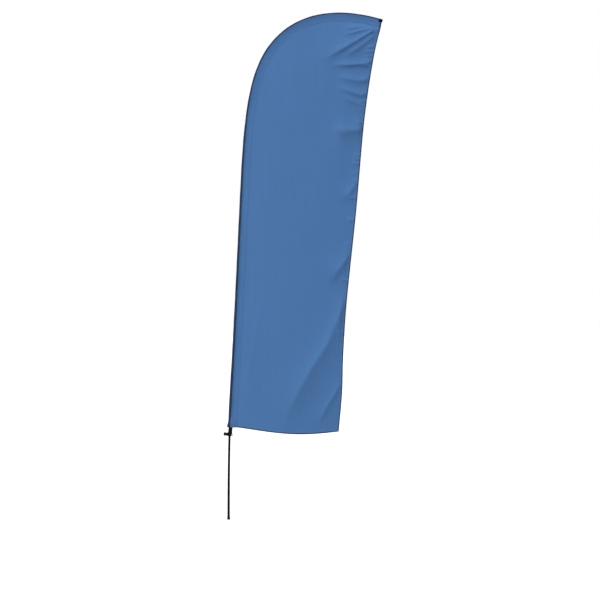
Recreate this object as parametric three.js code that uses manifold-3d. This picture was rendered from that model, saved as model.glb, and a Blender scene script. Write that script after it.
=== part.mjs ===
/**
 * Feather flag: a cloth banner on a sectional pole that bends over at its top.
 *
 * Millimetres. +Z is up along the foot of the pole, +X points from the pole towards the
 * cloth, and the front of the flag faces -Y. The origin is the middle of the pole's foot.
 *
 * Round pieces are first made straight and upright, in "pole coordinates": x is the
 * distance from the pole's centre towards the cloth, y is the distance towards the back,
 * and z is the distance along the pole. bend() then lays them along the pole's curve.
 */
import * as THREE from 'three';
import { mergeVertices } from 'three/addons/utils/BufferGeometryUtils.js';
import Module from 'manifold-3d';

// ---------------------------------------------------------------- driving dimensions

// Places that the pole's centre line passes. heading is its lean from upright towards +X
// in degrees; before and after are the lengths of the curve's handles there.
const POLE_PATH = [
  { x: 0, z: 0, heading: 0, before: 0, after: 538 },
  { x: 26.5, z: 900, heading: 3.26, before: 241, after: 301 },
  { x: 75.4, z: 1900, heading: 2.84, before: 318, after: 437 },
  { x: 272, z: 2664, heading: 45, before: 186, after: 216 },
  { x: 844, z: 2756, heading: 107, before: 200, after: 0 },
];
const FOOT_RADIUS = 6.9; // pole radius at the foot
const TAPER = 0.00135; // loss of pole radius per millimetre of length
const SECTION_JOINTS = [850, 1690, 2520]; // where one pole section ends and the next starts
const MARK_STEP = 120; // spacing of the rings of points on the nearly straight part
const BEND_START = 1920; // where the spacing becomes a third of that
const BEND_END = 3320; // the last ring
const NEAR = 5; // no ring of points lies closer than this to a piece's end
const POLE_END = 3313; // the fibreglass stops here, inside the tip cap
const SOCKET_RADIUS = 4.75; // blind socket in the foot, for a ground spindle
const SOCKET_DEPTH = 120;
const FERRULE_LENGTH = 80;
const FERRULE_WALL = 0.9;
const FOOT_RING_HEIGHT = 18;
const TIP_CAP_START = 3299;
const TIP_CAP_END = 3318;
const TIP_CAP_WALL = 1.1;
const TIP_CAP_NOSE = 2; // length of its tapered end

const MOUTH = 509.5; // the sleeve's open lower end
const SLEEVE_END = 3320.5;
const SLEEVE_WIDTH = 42; // pole centre to the seam
const SLEEVE_SLACK = 2.5; // cloth stands this far off the pole
const SLEEVE_WALL = 0.8;
const SEAM_HALF = 0.9; // half the thickness of the flat seam
const SEAM_ALLOWANCE = 4;
const MOUTH_FLARE = 5; // extra radius at the mouth
const FLARE_LENGTH = 48;
const FLARE_STEP = 8; // the sleeve's rings of points in the flare, and the cuff's
const CUFF_HEIGHT = 16;
const CUFF_WALL = 0.9;
const TAPE_WALL = 0.7; // the luff tape's thickness
const TAPE_FROM = 88; // degrees round the pole from the cloth's side to the tape's edge
const POCKET_LENGTH = 17; // how far the tip pocket reaches down the sleeve
const POCKET_REACH = 12; // and how far towards the cloth
const POCKET_WALL = 1.3;
const LAYER_GAP_HALF = 0.4; // half the room between the sleeve's layers at the seam

const CLOTH = 1.0; // panel thickness
const BINDING_WIDTH = 6;
const BINDING_THICKNESS = 2;
// The free edge of the cloth, from the lower corner to the tip: x and z.
const FREE_EDGE = [
  [608, 483],
  [627, 700],
  [633, 900],
  [652, 1200],
  [704, 1700],
  [749, 2200],
  [801, 2550],
  [849, 2752],
];
const FREE_EDGE_USED = 0.982; // the rest of that line is the sleeve's own end
const FOOT_DROP = 23.5; // how far the foot edge bows below its chord
const FOOT_SKEW = 1.15; // above 1 puts the lowest point nearer the free edge
const FOOT_FADE = 0.14; // share of the height over which the bow dies away
const BOW_STEP = 48; // spacing of the cloth's rows in that bow
const BELLY = 15; // the cloth's bulge towards the front
const CORNER_CURL = 20; // the lower corner's curl towards the back

const COLLAR_AT = 472; // middle of the clamp collar, along the pole
const COLLAR_RADIUS = 11.5;
const COLLAR_HEIGHT = 19;
const LINER_INNER = 6.6; // clears the pole there, which is 6.3 mm in radius
const LINER_OUTER = 8.0;
const BOSS_END = 18.6; // the boss reaches this far from the pole centre
const BOSS_HALF_WIDTH = 9;
const STUD_RADIUS = 3;
const STUD_FROM = 9.3;
const STUD_TO = 31;
const NUT_FROM = 12.9;
const NUT_TO = 16.4;
const NUT_HALF = 5;
const PAD_FROM = 6.6;
const PAD_TO = 9.0;
const PAD_RADIUS = 4;
const PAD_TRAVEL = 2.5;
const KNOB_FROM = 19.6;
const KNOB_LENGTH = 13.4;
const KNOB_RADIUS = 10;
const KNOB_LOBES = 6;

const RING_WIRE = 1.25; // wire radius
const RING_MIDDLE = 3.5; // ring and strap are centred this far towards the cloth
const RING_HALF_WIDTH = 13.6; // wire centre to wire centre
const RING_TOP = 1.5; // heights of the wire's centre, from the collar's middle
const RING_BOTTOM = -9.4;
const RING_CORNER = 3;
const RING_DEPTH = -15.6; // the ring hangs this far in front of the pole centre
const HOOK_WIDTH = 8;
const HOOK_TOP = -2.6;
const HOOK_TIP = -13;
const HOOK_FRONT = -20.4;
const HOOK_NOTCH_FRONT = -17.4;
const HOOK_NOTCH_TOP = -7.8;

const STRAP_WIDTH = 23;
const STRAP_OFFSET = 2.5; // how far its middle lies towards the cloth in the mouth
const STRAP_THICKNESS = 1.6;
const STRAP_ROOM = 0.8; // between the strap and the sleeve's inner face
const STRAP_TOP = 55; // heights from the collar's middle
const STRAP_FOLD_TOP = 24;
const STRAP_STRAIGHT_TOP = 9; // flat up to here, then it curves to the round mouth

const GAP = 0.3; // clearance between pieces that touch
const ROUND = 16; // sides of a full circle
const FINE_RIM = 24;

const COLOURS = {
  cloth: 0x4c74a7,
  sleeve: 0x466ca0,
  binding: 0x2a4668,
  fibreglass: 0x111214,
  metal: 0x2b2d30,
  nylon: 0x151516,
  webbing: 0x18191b,
  rubber: 0x0e0e0f,
  steel: 0x9a9ca0,
};

// ---------------------------------------------------------------- the pole's line

const radians = THREE.MathUtils.degToRad;
const { lerp, smoothstep } = THREE.MathUtils;

// One smooth curve through POLE_PATH.
function poleLine() {
  const line = new THREE.CurvePath();
  for (let i = 0; i + 1 < POLE_PATH.length; i += 1) {
    const from = POLE_PATH[i];
    const to = POLE_PATH[i + 1];
    const start = new THREE.Vector3(from.x, 0, from.z);
    const end = new THREE.Vector3(to.x, 0, to.z);
    const leave = heading(from.heading).multiplyScalar(from.after).add(start);
    const arrive = heading(to.heading).multiplyScalar(-to.before).add(end);
    const piece = new THREE.CubicBezierCurve3(start, leave, arrive, end);
    piece.arcLengthDivisions = 400;
    line.add(piece);
  }
  return line;
}

function heading(degrees) {
  return new THREE.Vector3(Math.sin(radians(degrees)), 0, Math.cos(radians(degrees)));
}

const POLE_LINE = poleLine();
const POLE_LENGTH = POLE_LINE.getLength();

// Place and direction of the pole at a distance along it, straight on past either end.
function poleFrame(along) {
  const inside = THREE.MathUtils.clamp(along, 0, POLE_LENGTH);
  const share = inside / POLE_LENGTH;
  const step = 0.5 / POLE_LENGTH;
  const back = POLE_LINE.getPoint(Math.max(share - step, 0));
  const ahead = POLE_LINE.getPoint(Math.min(share + step, 1));
  const tangent = ahead.sub(back).normalize();
  const middle = POLE_LINE.getPoint(share).addScaledVector(tangent, along - inside);
  const side = new THREE.Vector3(tangent.z, 0, -tangent.x);
  return { middle, tangent, side };
}

function poleRadius(along) {
  return FOOT_RADIUS - TAPER * along;
}

// A point given in pole coordinates, in the part's frame.
function onPole(side, back, along) {
  const frame = poleFrame(along);
  const point = frame.middle.clone().addScaledVector(frame.side, side);
  return point.setY(back);
}

// Lays a geometry made in pole coordinates along the pole.
function bend(geometry) {
  const place = geometry.getAttribute('position');
  for (let i = 0; i < place.count; i += 1) {
    const point = onPole(place.getX(i), place.getY(i), place.getZ(i));
    place.setXYZ(i, point.x, point.y, point.z);
  }
  geometry.computeVertexNormals();
  return geometry;
}

// ---------------------------------------------------------------- shape helpers

// Distances along the pole where its pieces get a ring of points: the same for all of
// them, and close together where the pole bends, so that nested pieces bend alike.
function marks(from, to) {
  const low = stations(0, BEND_START, MARK_STEP);
  const high = stations(BEND_START, BEND_END, MARK_STEP / 3).slice(1);
  const between = [...low, ...high].filter((mark) => mark > from + NEAR && mark < to - NEAR);
  return [from, ...between, to];
}

// Distances from one value to another in even steps no longer than the step asked for.
function stations(from, to, step) {
  const count = Math.max(1, Math.ceil((to - from) / step));
  return Array.from({ length: count + 1 }, (_, i) => lerp(from, to, i / count));
}

// Joins rings of equally many points into a closed skin. Unless the rings close on each
// other, each end is filled with a strip across the ring, from point i to its opposite.
function loft(rings, closed = false) {
  const size = rings[0].length;
  const faces = [];
  const quad = (a, b, c, d) => faces.push(a, b, c, a, c, d);
  const last = closed ? rings.length : rings.length - 1;
  for (let r = 0; r < last; r += 1) {
    const next = (r + 1) % rings.length;
    for (let i = 0; i < size; i += 1) {
      const j = (i + 1) % size;
      quad(r * size + i, r * size + j, next * size + j, next * size + i);
    }
  }
  if (!closed) {
    const top = (rings.length - 1) * size;
    for (let i = 0; i + 1 < size / 2; i += 1) {
      const far = size - 1 - i;
      quad(i, far, far - 1, i + 1);
      quad(top + i, top + i + 1, top + far - 1, top + far);
    }
  }
  const geometry = new THREE.BufferGeometry();
  const numbers = rings.flat().flatMap((p) => [p.x, p.y, p.z]);
  geometry.setAttribute('position', new THREE.Float32BufferAttribute(numbers, 3));
  geometry.setIndex(faces);
  return outward(geometry);
}

// Turns the faces round if they point inwards.
function outward(geometry) {
  const place = geometry.getAttribute('position');
  const index = geometry.index.array;
  const [a, b, c] = [new THREE.Vector3(), new THREE.Vector3(), new THREE.Vector3()];
  let volume = 0;
  for (let i = 0; i < index.length; i += 3) {
    a.fromBufferAttribute(place, index[i]);
    b.fromBufferAttribute(place, index[i + 1]);
    c.fromBufferAttribute(place, index[i + 2]);
    volume += a.dot(b.cross(c));
  }
  if (volume < 0) {
    for (let i = 0; i < index.length; i += 3) {
      [index[i + 1], index[i + 2]] = [index[i + 2], index[i + 1]];
    }
  }
  geometry.computeVertexNormals();
  return geometry;
}

// A turned shape about the Z axis, from [radius, height] pairs that start and end on it
// or close on themselves.
function turned(profile, sides = ROUND) {
  const points = profile.map(([radius, height]) => new THREE.Vector2(radius, height));
  return new THREE.LatheGeometry(points, sides).rotateX(Math.PI / 2);
}

// An outline in x and y, pushed up from one height to another.
function upright(outline, low, high) {
  const shape = new THREE.Shape(outline.map(([x, y]) => new THREE.Vector2(x, y)));
  const options = { depth: high - low, bevelEnabled: false };
  return new THREE.ExtrudeGeometry(shape, options).translate(0, 0, low);
}

// A bar of round section that lies along -X, from one distance to another.
function sideways(radius, from, to, sides = ROUND) {
  const bar = turned([[0, from], [radius, from], [radius, to], [0, to]], sides);
  return bar.rotateY(-Math.PI / 2);
}

function boxBetween(low, high) {
  const size = high.map((value, i) => value - low[i]);
  const middle = high.map((value, i) => (value + low[i]) / 2);
  return new THREE.BoxGeometry(...size).translate(...middle);
}

// ---------------------------------------------------------------- joins and cuts

const wasm = await Module();
wasm.setup();

function solid(geometry) {
  const bare = geometry.clone();
  bare.deleteAttribute('normal');
  bare.deleteAttribute('uv');
  const merged = mergeVertices(bare, 1e-4);
  return new wasm.Manifold(new wasm.Mesh({
    numProp: 3,
    vertProperties: merged.getAttribute('position').array,
    triVerts: new Uint32Array(merged.index.array),
  }));
}

function surface(manifold) {
  const mesh = manifold.getMesh();
  const geometry = new THREE.BufferGeometry();
  geometry.setAttribute('position', new THREE.BufferAttribute(mesh.vertProperties, 3));
  geometry.setIndex(new THREE.BufferAttribute(mesh.triVerts, 1));
  geometry.computeVertexNormals();
  return geometry;
}

// ---------------------------------------------------------------- pole

// A straight, tapered run of [radius, height] pairs.
function taperedWall(from, to, extra = 0) {
  return marks(from, to).map((along) => [poleRadius(along) + extra, along]);
}

function baseSection() {
  const end = SECTION_JOINTS[0] - GAP / 2;
  const wall = taperedWall(0, end);
  const socket = [[0, SOCKET_DEPTH], [SOCKET_RADIUS, SOCKET_DEPTH], [SOCKET_RADIUS, 0]];
  return bend(turned([...socket, ...wall, [0, end]]));
}

function poleSection(from, to) {
  return bend(turned([[0, from], ...taperedWall(from, to), [0, to]]));
}

function ferrule(middle) {
  const low = middle - FERRULE_LENGTH / 2;
  const high = middle + FERRULE_LENGTH / 2;
  const outside = taperedWall(low, high, GAP + FERRULE_WALL);
  const bore = taperedWall(low, high, GAP).reverse();
  return bend(turned([...outside, ...bore, outside[0]]));
}

function footRing() {
  const inner = FOOT_RADIUS + GAP;
  const outer = inner + FERRULE_WALL;
  const top = FOOT_RING_HEIGHT;
  return bend(turned([[inner, 0], [outer, 0], [outer, top], [inner, top], [inner, 0]]));
}

function tipCap() {
  const bore = poleRadius(POLE_END) + GAP;
  const outer = bore + TIP_CAP_WALL;
  const nose = TIP_CAP_END - TIP_CAP_NOSE;
  return bend(turned([
    [0, POLE_END + GAP],
    [bore, POLE_END + GAP],
    [bore, TIP_CAP_START],
    [outer, TIP_CAP_START],
    [outer, nose],
    [outer * 0.7, TIP_CAP_END - TIP_CAP_NOSE / 4],
    [0, TIP_CAP_END],
  ]));
}

// ---------------------------------------------------------------- sleeve

function sleeveRadius(along) {
  const flare = MOUTH_FLARE * (1 - smoothstep(along, MOUTH, MOUTH + FLARE_LENGTH));
  return poleRadius(along) + SLEEVE_SLACK + flare;
}

// The sleeve's section: from the seam in front, round the far side of the pole, and back to
// the seam behind. width is from the pole's centre to the seam.
function teardrop(radius, width, seamHalf) {
  const steps = 10;
  const touch = Math.acos(radius / width);
  const arc = Array.from({ length: steps + 1 }, (_, i) => {
    const angle = lerp(-touch, touch - 2 * Math.PI, i / steps);
    return [radius * Math.cos(angle), radius * Math.sin(angle)];
  });
  return [[width, -seamHalf], ...arc, [width, seamHalf]];
}

function ringAlong(outline, along) {
  return outline.map(([side, back]) => onPole(side, back, along));
}

function sleeveOutside(along) {
  return ringAlong(teardrop(sleeveRadius(along), SLEEVE_WIDTH, SEAM_HALF), along);
}

function sleeveInside(along) {
  const width = SLEEVE_WIDTH - SEAM_ALLOWANCE;
  return ringAlong(teardrop(sleeveRadius(along) - SLEEVE_WALL, width, LAYER_GAP_HALF), along);
}

function sleeveStations() {
  const flare = stations(MOUTH, MOUTH + FLARE_LENGTH, FLARE_STEP);
  return [...flare, ...marks(MOUTH + FLARE_LENGTH, SLEEVE_END).slice(1)];
}

function poleSleeve() {
  const places = sleeveStations();
  const outside = places.map(sleeveOutside);
  const inside = places.map(sleeveInside).reverse();
  return loft([...outside, ...inside], true);
}

// A folded band round the mouth, open at the seam side.
function sleeveCuff() {
  const rings = stations(MOUTH, MOUTH + CUFF_HEIGHT, FLARE_STEP).map((along) => {
    const inner = sleeveRadius(along) + 2 * GAP;
    const half = SEAM_HALF + 2 * GAP;
    const width = SLEEVE_WIDTH - 1;
    const inside = teardrop(inner, width, half);
    const outside = teardrop(inner + CUFF_WALL, width, half + CUFF_WALL);
    return ringAlong([...outside, ...inside.reverse()], along);
  });
  return loft(rings);
}

// A tape sewn over the outer side of the sleeve, from the cuff to the tip pocket.
function luffTape() {
  const from = MOUTH + CUFF_HEIGHT + GAP;
  const to = SLEEVE_END - POCKET_LENGTH - GAP;
  const flareTop = MOUTH + FLARE_LENGTH;
  const flare = stations(MOUTH + CUFF_HEIGHT + FLARE_STEP, flareTop, FLARE_STEP);
  const angles = stations(TAPE_FROM, 360 - TAPE_FROM, 20).map(radians);
  const rings = [from, ...flare, ...marks(flareTop, to).slice(1)].map((along) => {
    const inner = sleeveRadius(along) + GAP;
    const arc = (radius) => angles.map((angle) => [radius * Math.cos(angle), radius * Math.sin(angle)]);
    return ringAlong([...arc(inner + TAPE_WALL), ...arc(inner).reverse()], along);
  });
  return loft(rings);
}

// A webbing cup over the sleeve's end, which the tip of the pole pushes into.
function tipPocket() {
  const from = SLEEVE_END - POCKET_LENGTH;
  const roof = SLEEVE_END + 6 * GAP;
  const to = roof + POCKET_WALL;
  const radius = sleeveRadius(SLEEVE_END) + GAP;
  const seamRoom = SEAM_HALF + GAP;
  const room = upright(teardrop(radius, SLEEVE_WIDTH, seamRoom), from - 1, roof);
  const skin = upright(teardrop(radius + POCKET_WALL, SLEEVE_WIDTH, seamRoom + POCKET_WALL), from, to);
  const beyond = boxBetween(
    [POCKET_REACH, -SLEEVE_WIDTH, from - 1],
    [2 * SLEEVE_WIDTH, SLEEVE_WIDTH, to + 1],
  );
  return bend(surface(solid(skin).subtract(solid(room)).subtract(solid(beyond))));
}

// ---------------------------------------------------------------- cloth

const EDGE_LINE = new THREE.CatmullRomCurve3(
  FREE_EDGE.map(([x, z]) => new THREE.Vector3(x, 0, z)),
  false,
  'catmullrom',
  0.5,
);
const EDGE_LENGTH = EDGE_LINE.getLength();

// A point on the free edge, or the given distance inside it. height is 0 at the corner
// and 1 at the top of the cloth.
function freeEdge(height, inside) {
  const share = height * FREE_EDGE_USED;
  const tangent = EDGE_LINE.getTangentAt(share);
  const inwards = new THREE.Vector3(-tangent.z, 0, tangent.x);
  return EDGE_LINE.getPointAt(share).addScaledVector(inwards, inside);
}

// How far the cloth stands behind its flat plane. across is 0 at the seam, 1 at the edge.
function billow(height, across) {
  const belly = -BELLY * Math.sin(Math.PI * across) * Math.sin(Math.PI * (0.1 + 0.8 * height));
  const curl = CORNER_CURL * across ** 2 * (1 - height) ** 4;
  return belly + curl;
}

// A point of the cloth between the seam and the free edge, with the foot's bow.
function clothPoint(height, across, margins) {
  const low = MOUTH + margins.foot;
  const along = lerp(low, SLEEVE_END - margins.top, height);
  const seam = onPole(SLEEVE_WIDTH + GAP, 0, along);
  const rise = (margins.foot / EDGE_LENGTH) * (1 - height);
  const edge = freeEdge(rise + height, margins.edge);
  const point = seam.lerp(edge, across);
  const bow = Math.sin(Math.PI * across ** FOOT_SKEW);
  const fade = Math.max(0, 1 - height / FOOT_FADE) ** 2;
  point.z -= FOOT_DROP * bow * fade;
  return point.setY(billow(height, across));
}

// A thin solid from rows of points: each row is thickened half to the front, half behind.
function sheet(rows, thickness) {
  return loft(rows.map((row) => {
    const front = row.map((p) => p.clone().setY(p.y - thickness / 2));
    const back = row.map((p) => p.clone().setY(p.y + thickness / 2));
    return [...front, ...back.reverse()];
  }));
}

// Shares of the cloth's height, from the foot to the given end along the pole. They are
// close together in the foot's bow, and level with the sleeve's marks above it.
function clothRows(low, high) {
  const bowTop = 7 * MARK_STEP;
  const places = [...stations(low, bowTop, BOW_STEP), ...marks(bowTop, high).slice(1)];
  return places.map((along) => (along - low) / (high - low));
}

const CLOTH_COLUMNS = stations(0, 1, 0.125);

function flagPanel() {
  const inset = BINDING_WIDTH + GAP;
  const margins = { foot: inset, edge: inset, top: inset + GAP };
  const rows = clothRows(MOUTH + inset, SLEEVE_END - margins.top).map(
    (height) => CLOTH_COLUMNS.map((across) => clothPoint(height, across, margins)),
  );
  return sheet(rows, CLOTH);
}

// A folded tape along the free edge, from the lower corner to the tip of the flag.
function edgeBinding() {
  const outer = { foot: 0, edge: 0, top: 0 };
  const rows = clothRows(MOUTH, SLEEVE_END).map((height) => {
    const rim = clothPoint(height, 1, outer);
    const inner = freeEdge(height, BINDING_WIDTH).setY(rim.y);
    return [inner, rim];
  });
  return sheet(rows, BINDING_THICKNESS);
}

// The same tape along the foot, from the seam to the edge binding.
function footBinding() {
  const margins = { foot: 0, edge: BINDING_WIDTH + GAP, top: 0 };
  const rows = CLOTH_COLUMNS.map((across) => {
    const low = clothPoint(0, across, margins);
    return [low, low.clone().setZ(low.z + BINDING_WIDTH)];
  });
  return sheet(rows, BINDING_THICKNESS);
}

// ---------------------------------------------------------------- fitting below the sleeve
// These are made about the collar's middle, upright, and placed together on the pole.

function clampCollar() {
  const half = COLLAR_HEIGHT / 2;
  const rim = COLLAR_RADIUS;
  const barrel = turned([
    [0, -half], [rim - 1, -half], [rim, 1 - half], [rim, half - 1], [rim - 1, half], [0, half],
  ], FINE_RIM);
  const boss = boxBetween([-BOSS_END, -BOSS_HALF_WIDTH, -half], [0, BOSS_HALF_WIDTH, half]);
  const nose = turned([[0, 0], [rim, 0], [BOSS_HALF_WIDTH, BOSS_END], [0, BOSS_END]], FINE_RIM);
  const roundedBoss = solid(boss).intersect(solid(nose.rotateY(-Math.PI / 2)));
  const body = solid(barrel).add(roundedBoss).add(solid(hook()));

  const seat = LINER_OUTER + GAP;
  const bore = turned([[0, -rim], [seat, -rim], [seat, rim], [0, rim]]);
  const padPocket = sideways(PAD_RADIUS + GAP, 0, PAD_TO + PAD_TRAVEL + GAP);
  const studHole = sideways(STUD_RADIUS + GAP, 0, BOSS_END + 1);
  const nutSlot = boxBetween(
    [-(NUT_TO + GAP), -(NUT_HALF + GAP), -(NUT_HALF + GAP)],
    [-(NUT_FROM - GAP), NUT_HALF + GAP, rim],
  );
  const cuts = [bore, padPocket, studHole, nutSlot];
  return surface(cuts.reduce((left, cut) => left.subtract(solid(cut)), body));
}

// A lug that turns down in front of the ring's lower bar, in x across and y, z outline.
function hook() {
  const outline = [
    [-9, HOOK_TOP],
    [HOOK_FRONT + 2, HOOK_TOP],
    [HOOK_FRONT, HOOK_TOP - 2.5],
    [HOOK_FRONT, HOOK_TIP],
    [HOOK_NOTCH_FRONT, HOOK_TIP],
    [HOOK_NOTCH_FRONT, HOOK_NOTCH_TOP],
    [-9, HOOK_NOTCH_TOP],
  ];
  const lug = upright(outline, -HOOK_WIDTH / 2, HOOK_WIDTH / 2);
  // The outline's x and y become y and z, and its depth runs across, about the ring's middle.
  const stand = new THREE.Matrix4().set(0, 0, 1, RING_MIDDLE, 1, 0, 0, 0, 0, 1, 0, 0, 0, 0, 0, 1);
  return lug.applyMatrix4(stand);
}

// A split rubber ring inside the collar, open where the pressure pad comes through.
function collarLiner() {
  const half = COLLAR_HEIGHT / 2 - 0.5;
  const open = radians(42);
  const shape = new THREE.Shape();
  shape.absarc(0, 0, LINER_OUTER, open - Math.PI, Math.PI - open, false);
  shape.absarc(0, 0, LINER_INNER, Math.PI - open, open - Math.PI, true);
  const options = { depth: 2 * half, bevelEnabled: false, curveSegments: ROUND };
  return new THREE.ExtrudeGeometry(shape, options).translate(0, 0, -half);
}

function clampNut() {
  const block = boxBetween(
    [-NUT_TO, -NUT_HALF, -NUT_HALF],
    [-NUT_FROM, NUT_HALF, NUT_HALF],
  );
  return surface(solid(block).subtract(solid(sideways(STUD_RADIUS + GAP, 0, BOSS_END))));
}

function screwStud() {
  const chamfer = 0.8;
  const stud = turned([
    [0, STUD_FROM],
    [STUD_RADIUS - chamfer, STUD_FROM],
    [STUD_RADIUS, STUD_FROM + chamfer],
    [STUD_RADIUS, STUD_TO],
    [0, STUD_TO],
  ]);
  return stud.rotateY(-Math.PI / 2);
}

function pressurePad() {
  return sideways(PAD_RADIUS, PAD_FROM, PAD_TO);
}

// A lobed grip with a domed end and a blind hole for the stud.
function thumbKnob() {
  const rounds = [[0.84, 0], [1, 0.12], [1, 0.72], [0.86, 0.92], [0.5, 1]];
  const sides = KNOB_LOBES * 6;
  const rings = rounds.map(([scale, share]) => Array.from({ length: sides }, (_, i) => {
    const angle = (2 * Math.PI * i) / sides;
    const radius = KNOB_RADIUS * scale * (0.94 + 0.06 * Math.cos(KNOB_LOBES * angle));
    const x = -(KNOB_FROM + KNOB_LENGTH * share);
    return new THREE.Vector3(x, radius * Math.cos(angle), radius * Math.sin(angle));
  }));
  const hole = sideways(STUD_RADIUS + GAP, KNOB_FROM - 1, STUD_TO + GAP);
  return surface(solid(loft(rings)).subtract(solid(hole)));
}

// A rectangle of wire with round corners that the strap hangs on the hook.
function strapRing() {
  const corners = [
    [1, 1, RING_TOP, 0],
    [-1, 1, RING_TOP, 90],
    [-1, -1, RING_BOTTOM, 180],
    [1, -1, RING_BOTTOM, 270],
  ];
  const steps = 4;
  const sides = 8;
  const rings = corners.flatMap(([sx, sz, z, from]) => stations(0, 90, 90 / steps).map((turn) => {
    const angle = radians(from + turn);
    const out = new THREE.Vector3(Math.cos(angle), 0, Math.sin(angle));
    const x = RING_MIDDLE + sx * (RING_HALF_WIDTH - RING_CORNER);
    const centre = new THREE.Vector3(x, RING_DEPTH, z - sz * RING_CORNER);
    centre.addScaledVector(out, RING_CORNER);
    return Array.from({ length: sides }, (_, i) => {
      const round = (2 * Math.PI * (i + 0.5)) / sides;
      const point = centre.clone().addScaledVector(out, RING_WIRE * Math.cos(round));
      return point.setY(point.y + RING_WIRE * Math.sin(round));
    });
  }));
  return loft(rings, true);
}

// Webbing sewn inside the front of the mouth, looped round the top bar of the ring and
// sewn to itself.
function tensionStrap() {
  const half = STRAP_THICKNESS / 2;
  const joint = STRAP_STRAIGHT_TOP - 1;
  const single = ribbon(-half, half, joint, STRAP_TOP);
  const folded = ribbon(-3 * half, half, joint, STRAP_FOLD_TOP);
  return surface(solid(strapLoop()).add(solid(single)).add(solid(folded)));
}

// The eye round the ring, drawn with x out to the front and y up, and pushed through the
// strap's width.
function strapLoop() {
  const half = STRAP_THICKNESS / 2;
  const hole = RING_WIRE + GAP;
  const shape = new THREE.Shape();
  shape.moveTo(-3 * half, STRAP_STRAIGHT_TOP);
  shape.lineTo(half, STRAP_STRAIGHT_TOP);
  shape.absarc(-half, RING_TOP, hole + STRAP_THICKNESS, radians(20), radians(-200), true);
  const eye = new THREE.Path();
  eye.absarc(-half, RING_TOP, hole, radians(-210), radians(30), false);
  eye.lineTo(-half, RING_TOP + 4);
  shape.holes.push(eye);
  const options = { depth: STRAP_WIDTH, bevelEnabled: false, curveSegments: 12 };
  const loop = new THREE.ExtrudeGeometry(shape, options);
  const place = loop.getAttribute('position');
  for (let i = 0; i < place.count; i += 1) {
    const across = place.getZ(i) - STRAP_WIDTH / 2;
    place.setXYZ(i, ...onStrap(across, place.getX(i), place.getY(i)).toArray());
  }
  loop.setIndex(Array.from({ length: place.count }, (_, i) => i));
  return outward(loop);
}

// A stretch of the strap between two depths and two heights.
function ribbon(back, front, low, high) {
  const columns = stations(-STRAP_WIDTH / 2, STRAP_WIDTH / 2, 3.4);
  return loft(stations(low, high, 4).map((up) => [
    ...columns.map((across) => onStrap(across, front, up)),
    ...columns.map((across) => onStrap(across, back, up)).reverse(),
  ]));
}

// across runs over the strap's width, out is the distance towards the front.
function onStrap(across, out, up) {
  const seatRadius = sleeveRadius(COLLAR_AT + STRAP_TOP) - SLEEVE_WALL - STRAP_THICKNESS / 2 - STRAP_ROOM;
  const radius = seatRadius + out;
  const apex = SLEEVE_WIDTH - SEAM_ALLOWANCE;
  const touch = Math.acos(radius / apex);
  const run = across + STRAP_OFFSET;
  const turn = touch + Math.max(0, -run) / radius;
  const ahead = Math.max(0, run);
  const seated = [
    radius * Math.cos(turn) + ahead * Math.sin(touch),
    -radius * Math.sin(turn) + ahead * Math.cos(touch),
  ];
  const flat = [RING_MIDDLE + across, RING_DEPTH - STRAP_THICKNESS / 2 - out];
  const blend = smoothstep(up, STRAP_STRAIGHT_TOP, MOUTH - COLLAR_AT);
  return new THREE.Vector3(
    lerp(flat[0], seated[0], blend),
    lerp(flat[1], seated[1], blend),
    up,
  );
}

// ---------------------------------------------------------------- assembly

function material(colour, roughness, metalness = 0) {
  return new THREE.MeshStandardMaterial({ color: colour, roughness, metalness });
}

const FINISHES = {
  cloth: material(COLOURS.cloth, 0.85),
  sleeve: material(COLOURS.sleeve, 0.85),
  binding: material(COLOURS.binding, 0.9),
  fibreglass: material(COLOURS.fibreglass, 0.35),
  metal: material(COLOURS.metal, 0.4, 0.8),
  nylon: material(COLOURS.nylon, 0.55),
  webbing: material(COLOURS.webbing, 0.9),
  rubber: material(COLOURS.rubber, 0.8),
  steel: material(COLOURS.steel, 0.35, 1),
};

function piece(name, geometry, finish) {
  const mesh = new THREE.Mesh(geometry, FINISHES[finish]);
  mesh.name = name;
  return mesh;
}

function pole() {
  const [first, second, third] = SECTION_JOINTS;
  const half = GAP / 2;
  const group = new THREE.Group();
  group.add(
    piece('base_section', baseSection(), 'fibreglass'),
    piece('lower_section', poleSection(first + half, second - half), 'fibreglass'),
    piece('upper_section', poleSection(second + half, third - half), 'fibreglass'),
    piece('tip_section', poleSection(third + half, POLE_END), 'fibreglass'),
    piece('foot_ring', footRing(), 'metal'),
    piece('tip_cap', tipCap(), 'nylon'),
  );
  ['lower', 'middle', 'upper'].forEach((where, i) => {
    group.add(piece(`${where}_ferrule`, ferrule(SECTION_JOINTS[i]), 'metal'));
  });
  return group;
}

function flag() {
  const group = new THREE.Group();
  group.add(
    piece('pole_sleeve', poleSleeve(), 'sleeve'),
    piece('sleeve_cuff', sleeveCuff(), 'sleeve'),
    piece('luff_tape', luffTape(), 'binding'),
    piece('tip_pocket', tipPocket(), 'webbing'),
    piece('flag_panel', flagPanel(), 'cloth'),
    piece('edge_binding', edgeBinding(), 'binding'),
    piece('foot_binding', footBinding(), 'binding'),
  );
  return group;
}

function fitting() {
  const { middle, tangent } = poleFrame(COLLAR_AT);
  const group = new THREE.Group();
  group.position.copy(middle);
  group.rotation.y = Math.atan2(tangent.x, tangent.z);
  group.add(
    piece('clamp_collar', clampCollar(), 'nylon'),
    piece('collar_liner', collarLiner(), 'rubber'),
    piece('clamp_nut', clampNut(), 'steel'),
    piece('screw_stud', screwStud(), 'steel'),
    piece('thumb_knob', thumbKnob(), 'nylon'),
    piece('pressure_pad', pressurePad(), 'nylon'),
    piece('strap_ring', strapRing(), 'metal'),
    piece('tension_strap', tensionStrap(), 'webbing'),
  );
  return group;
}

const featherFlag = new THREE.Group();
featherFlag.add(pole(), flag(), fitting());

export default featherFlag;
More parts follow.
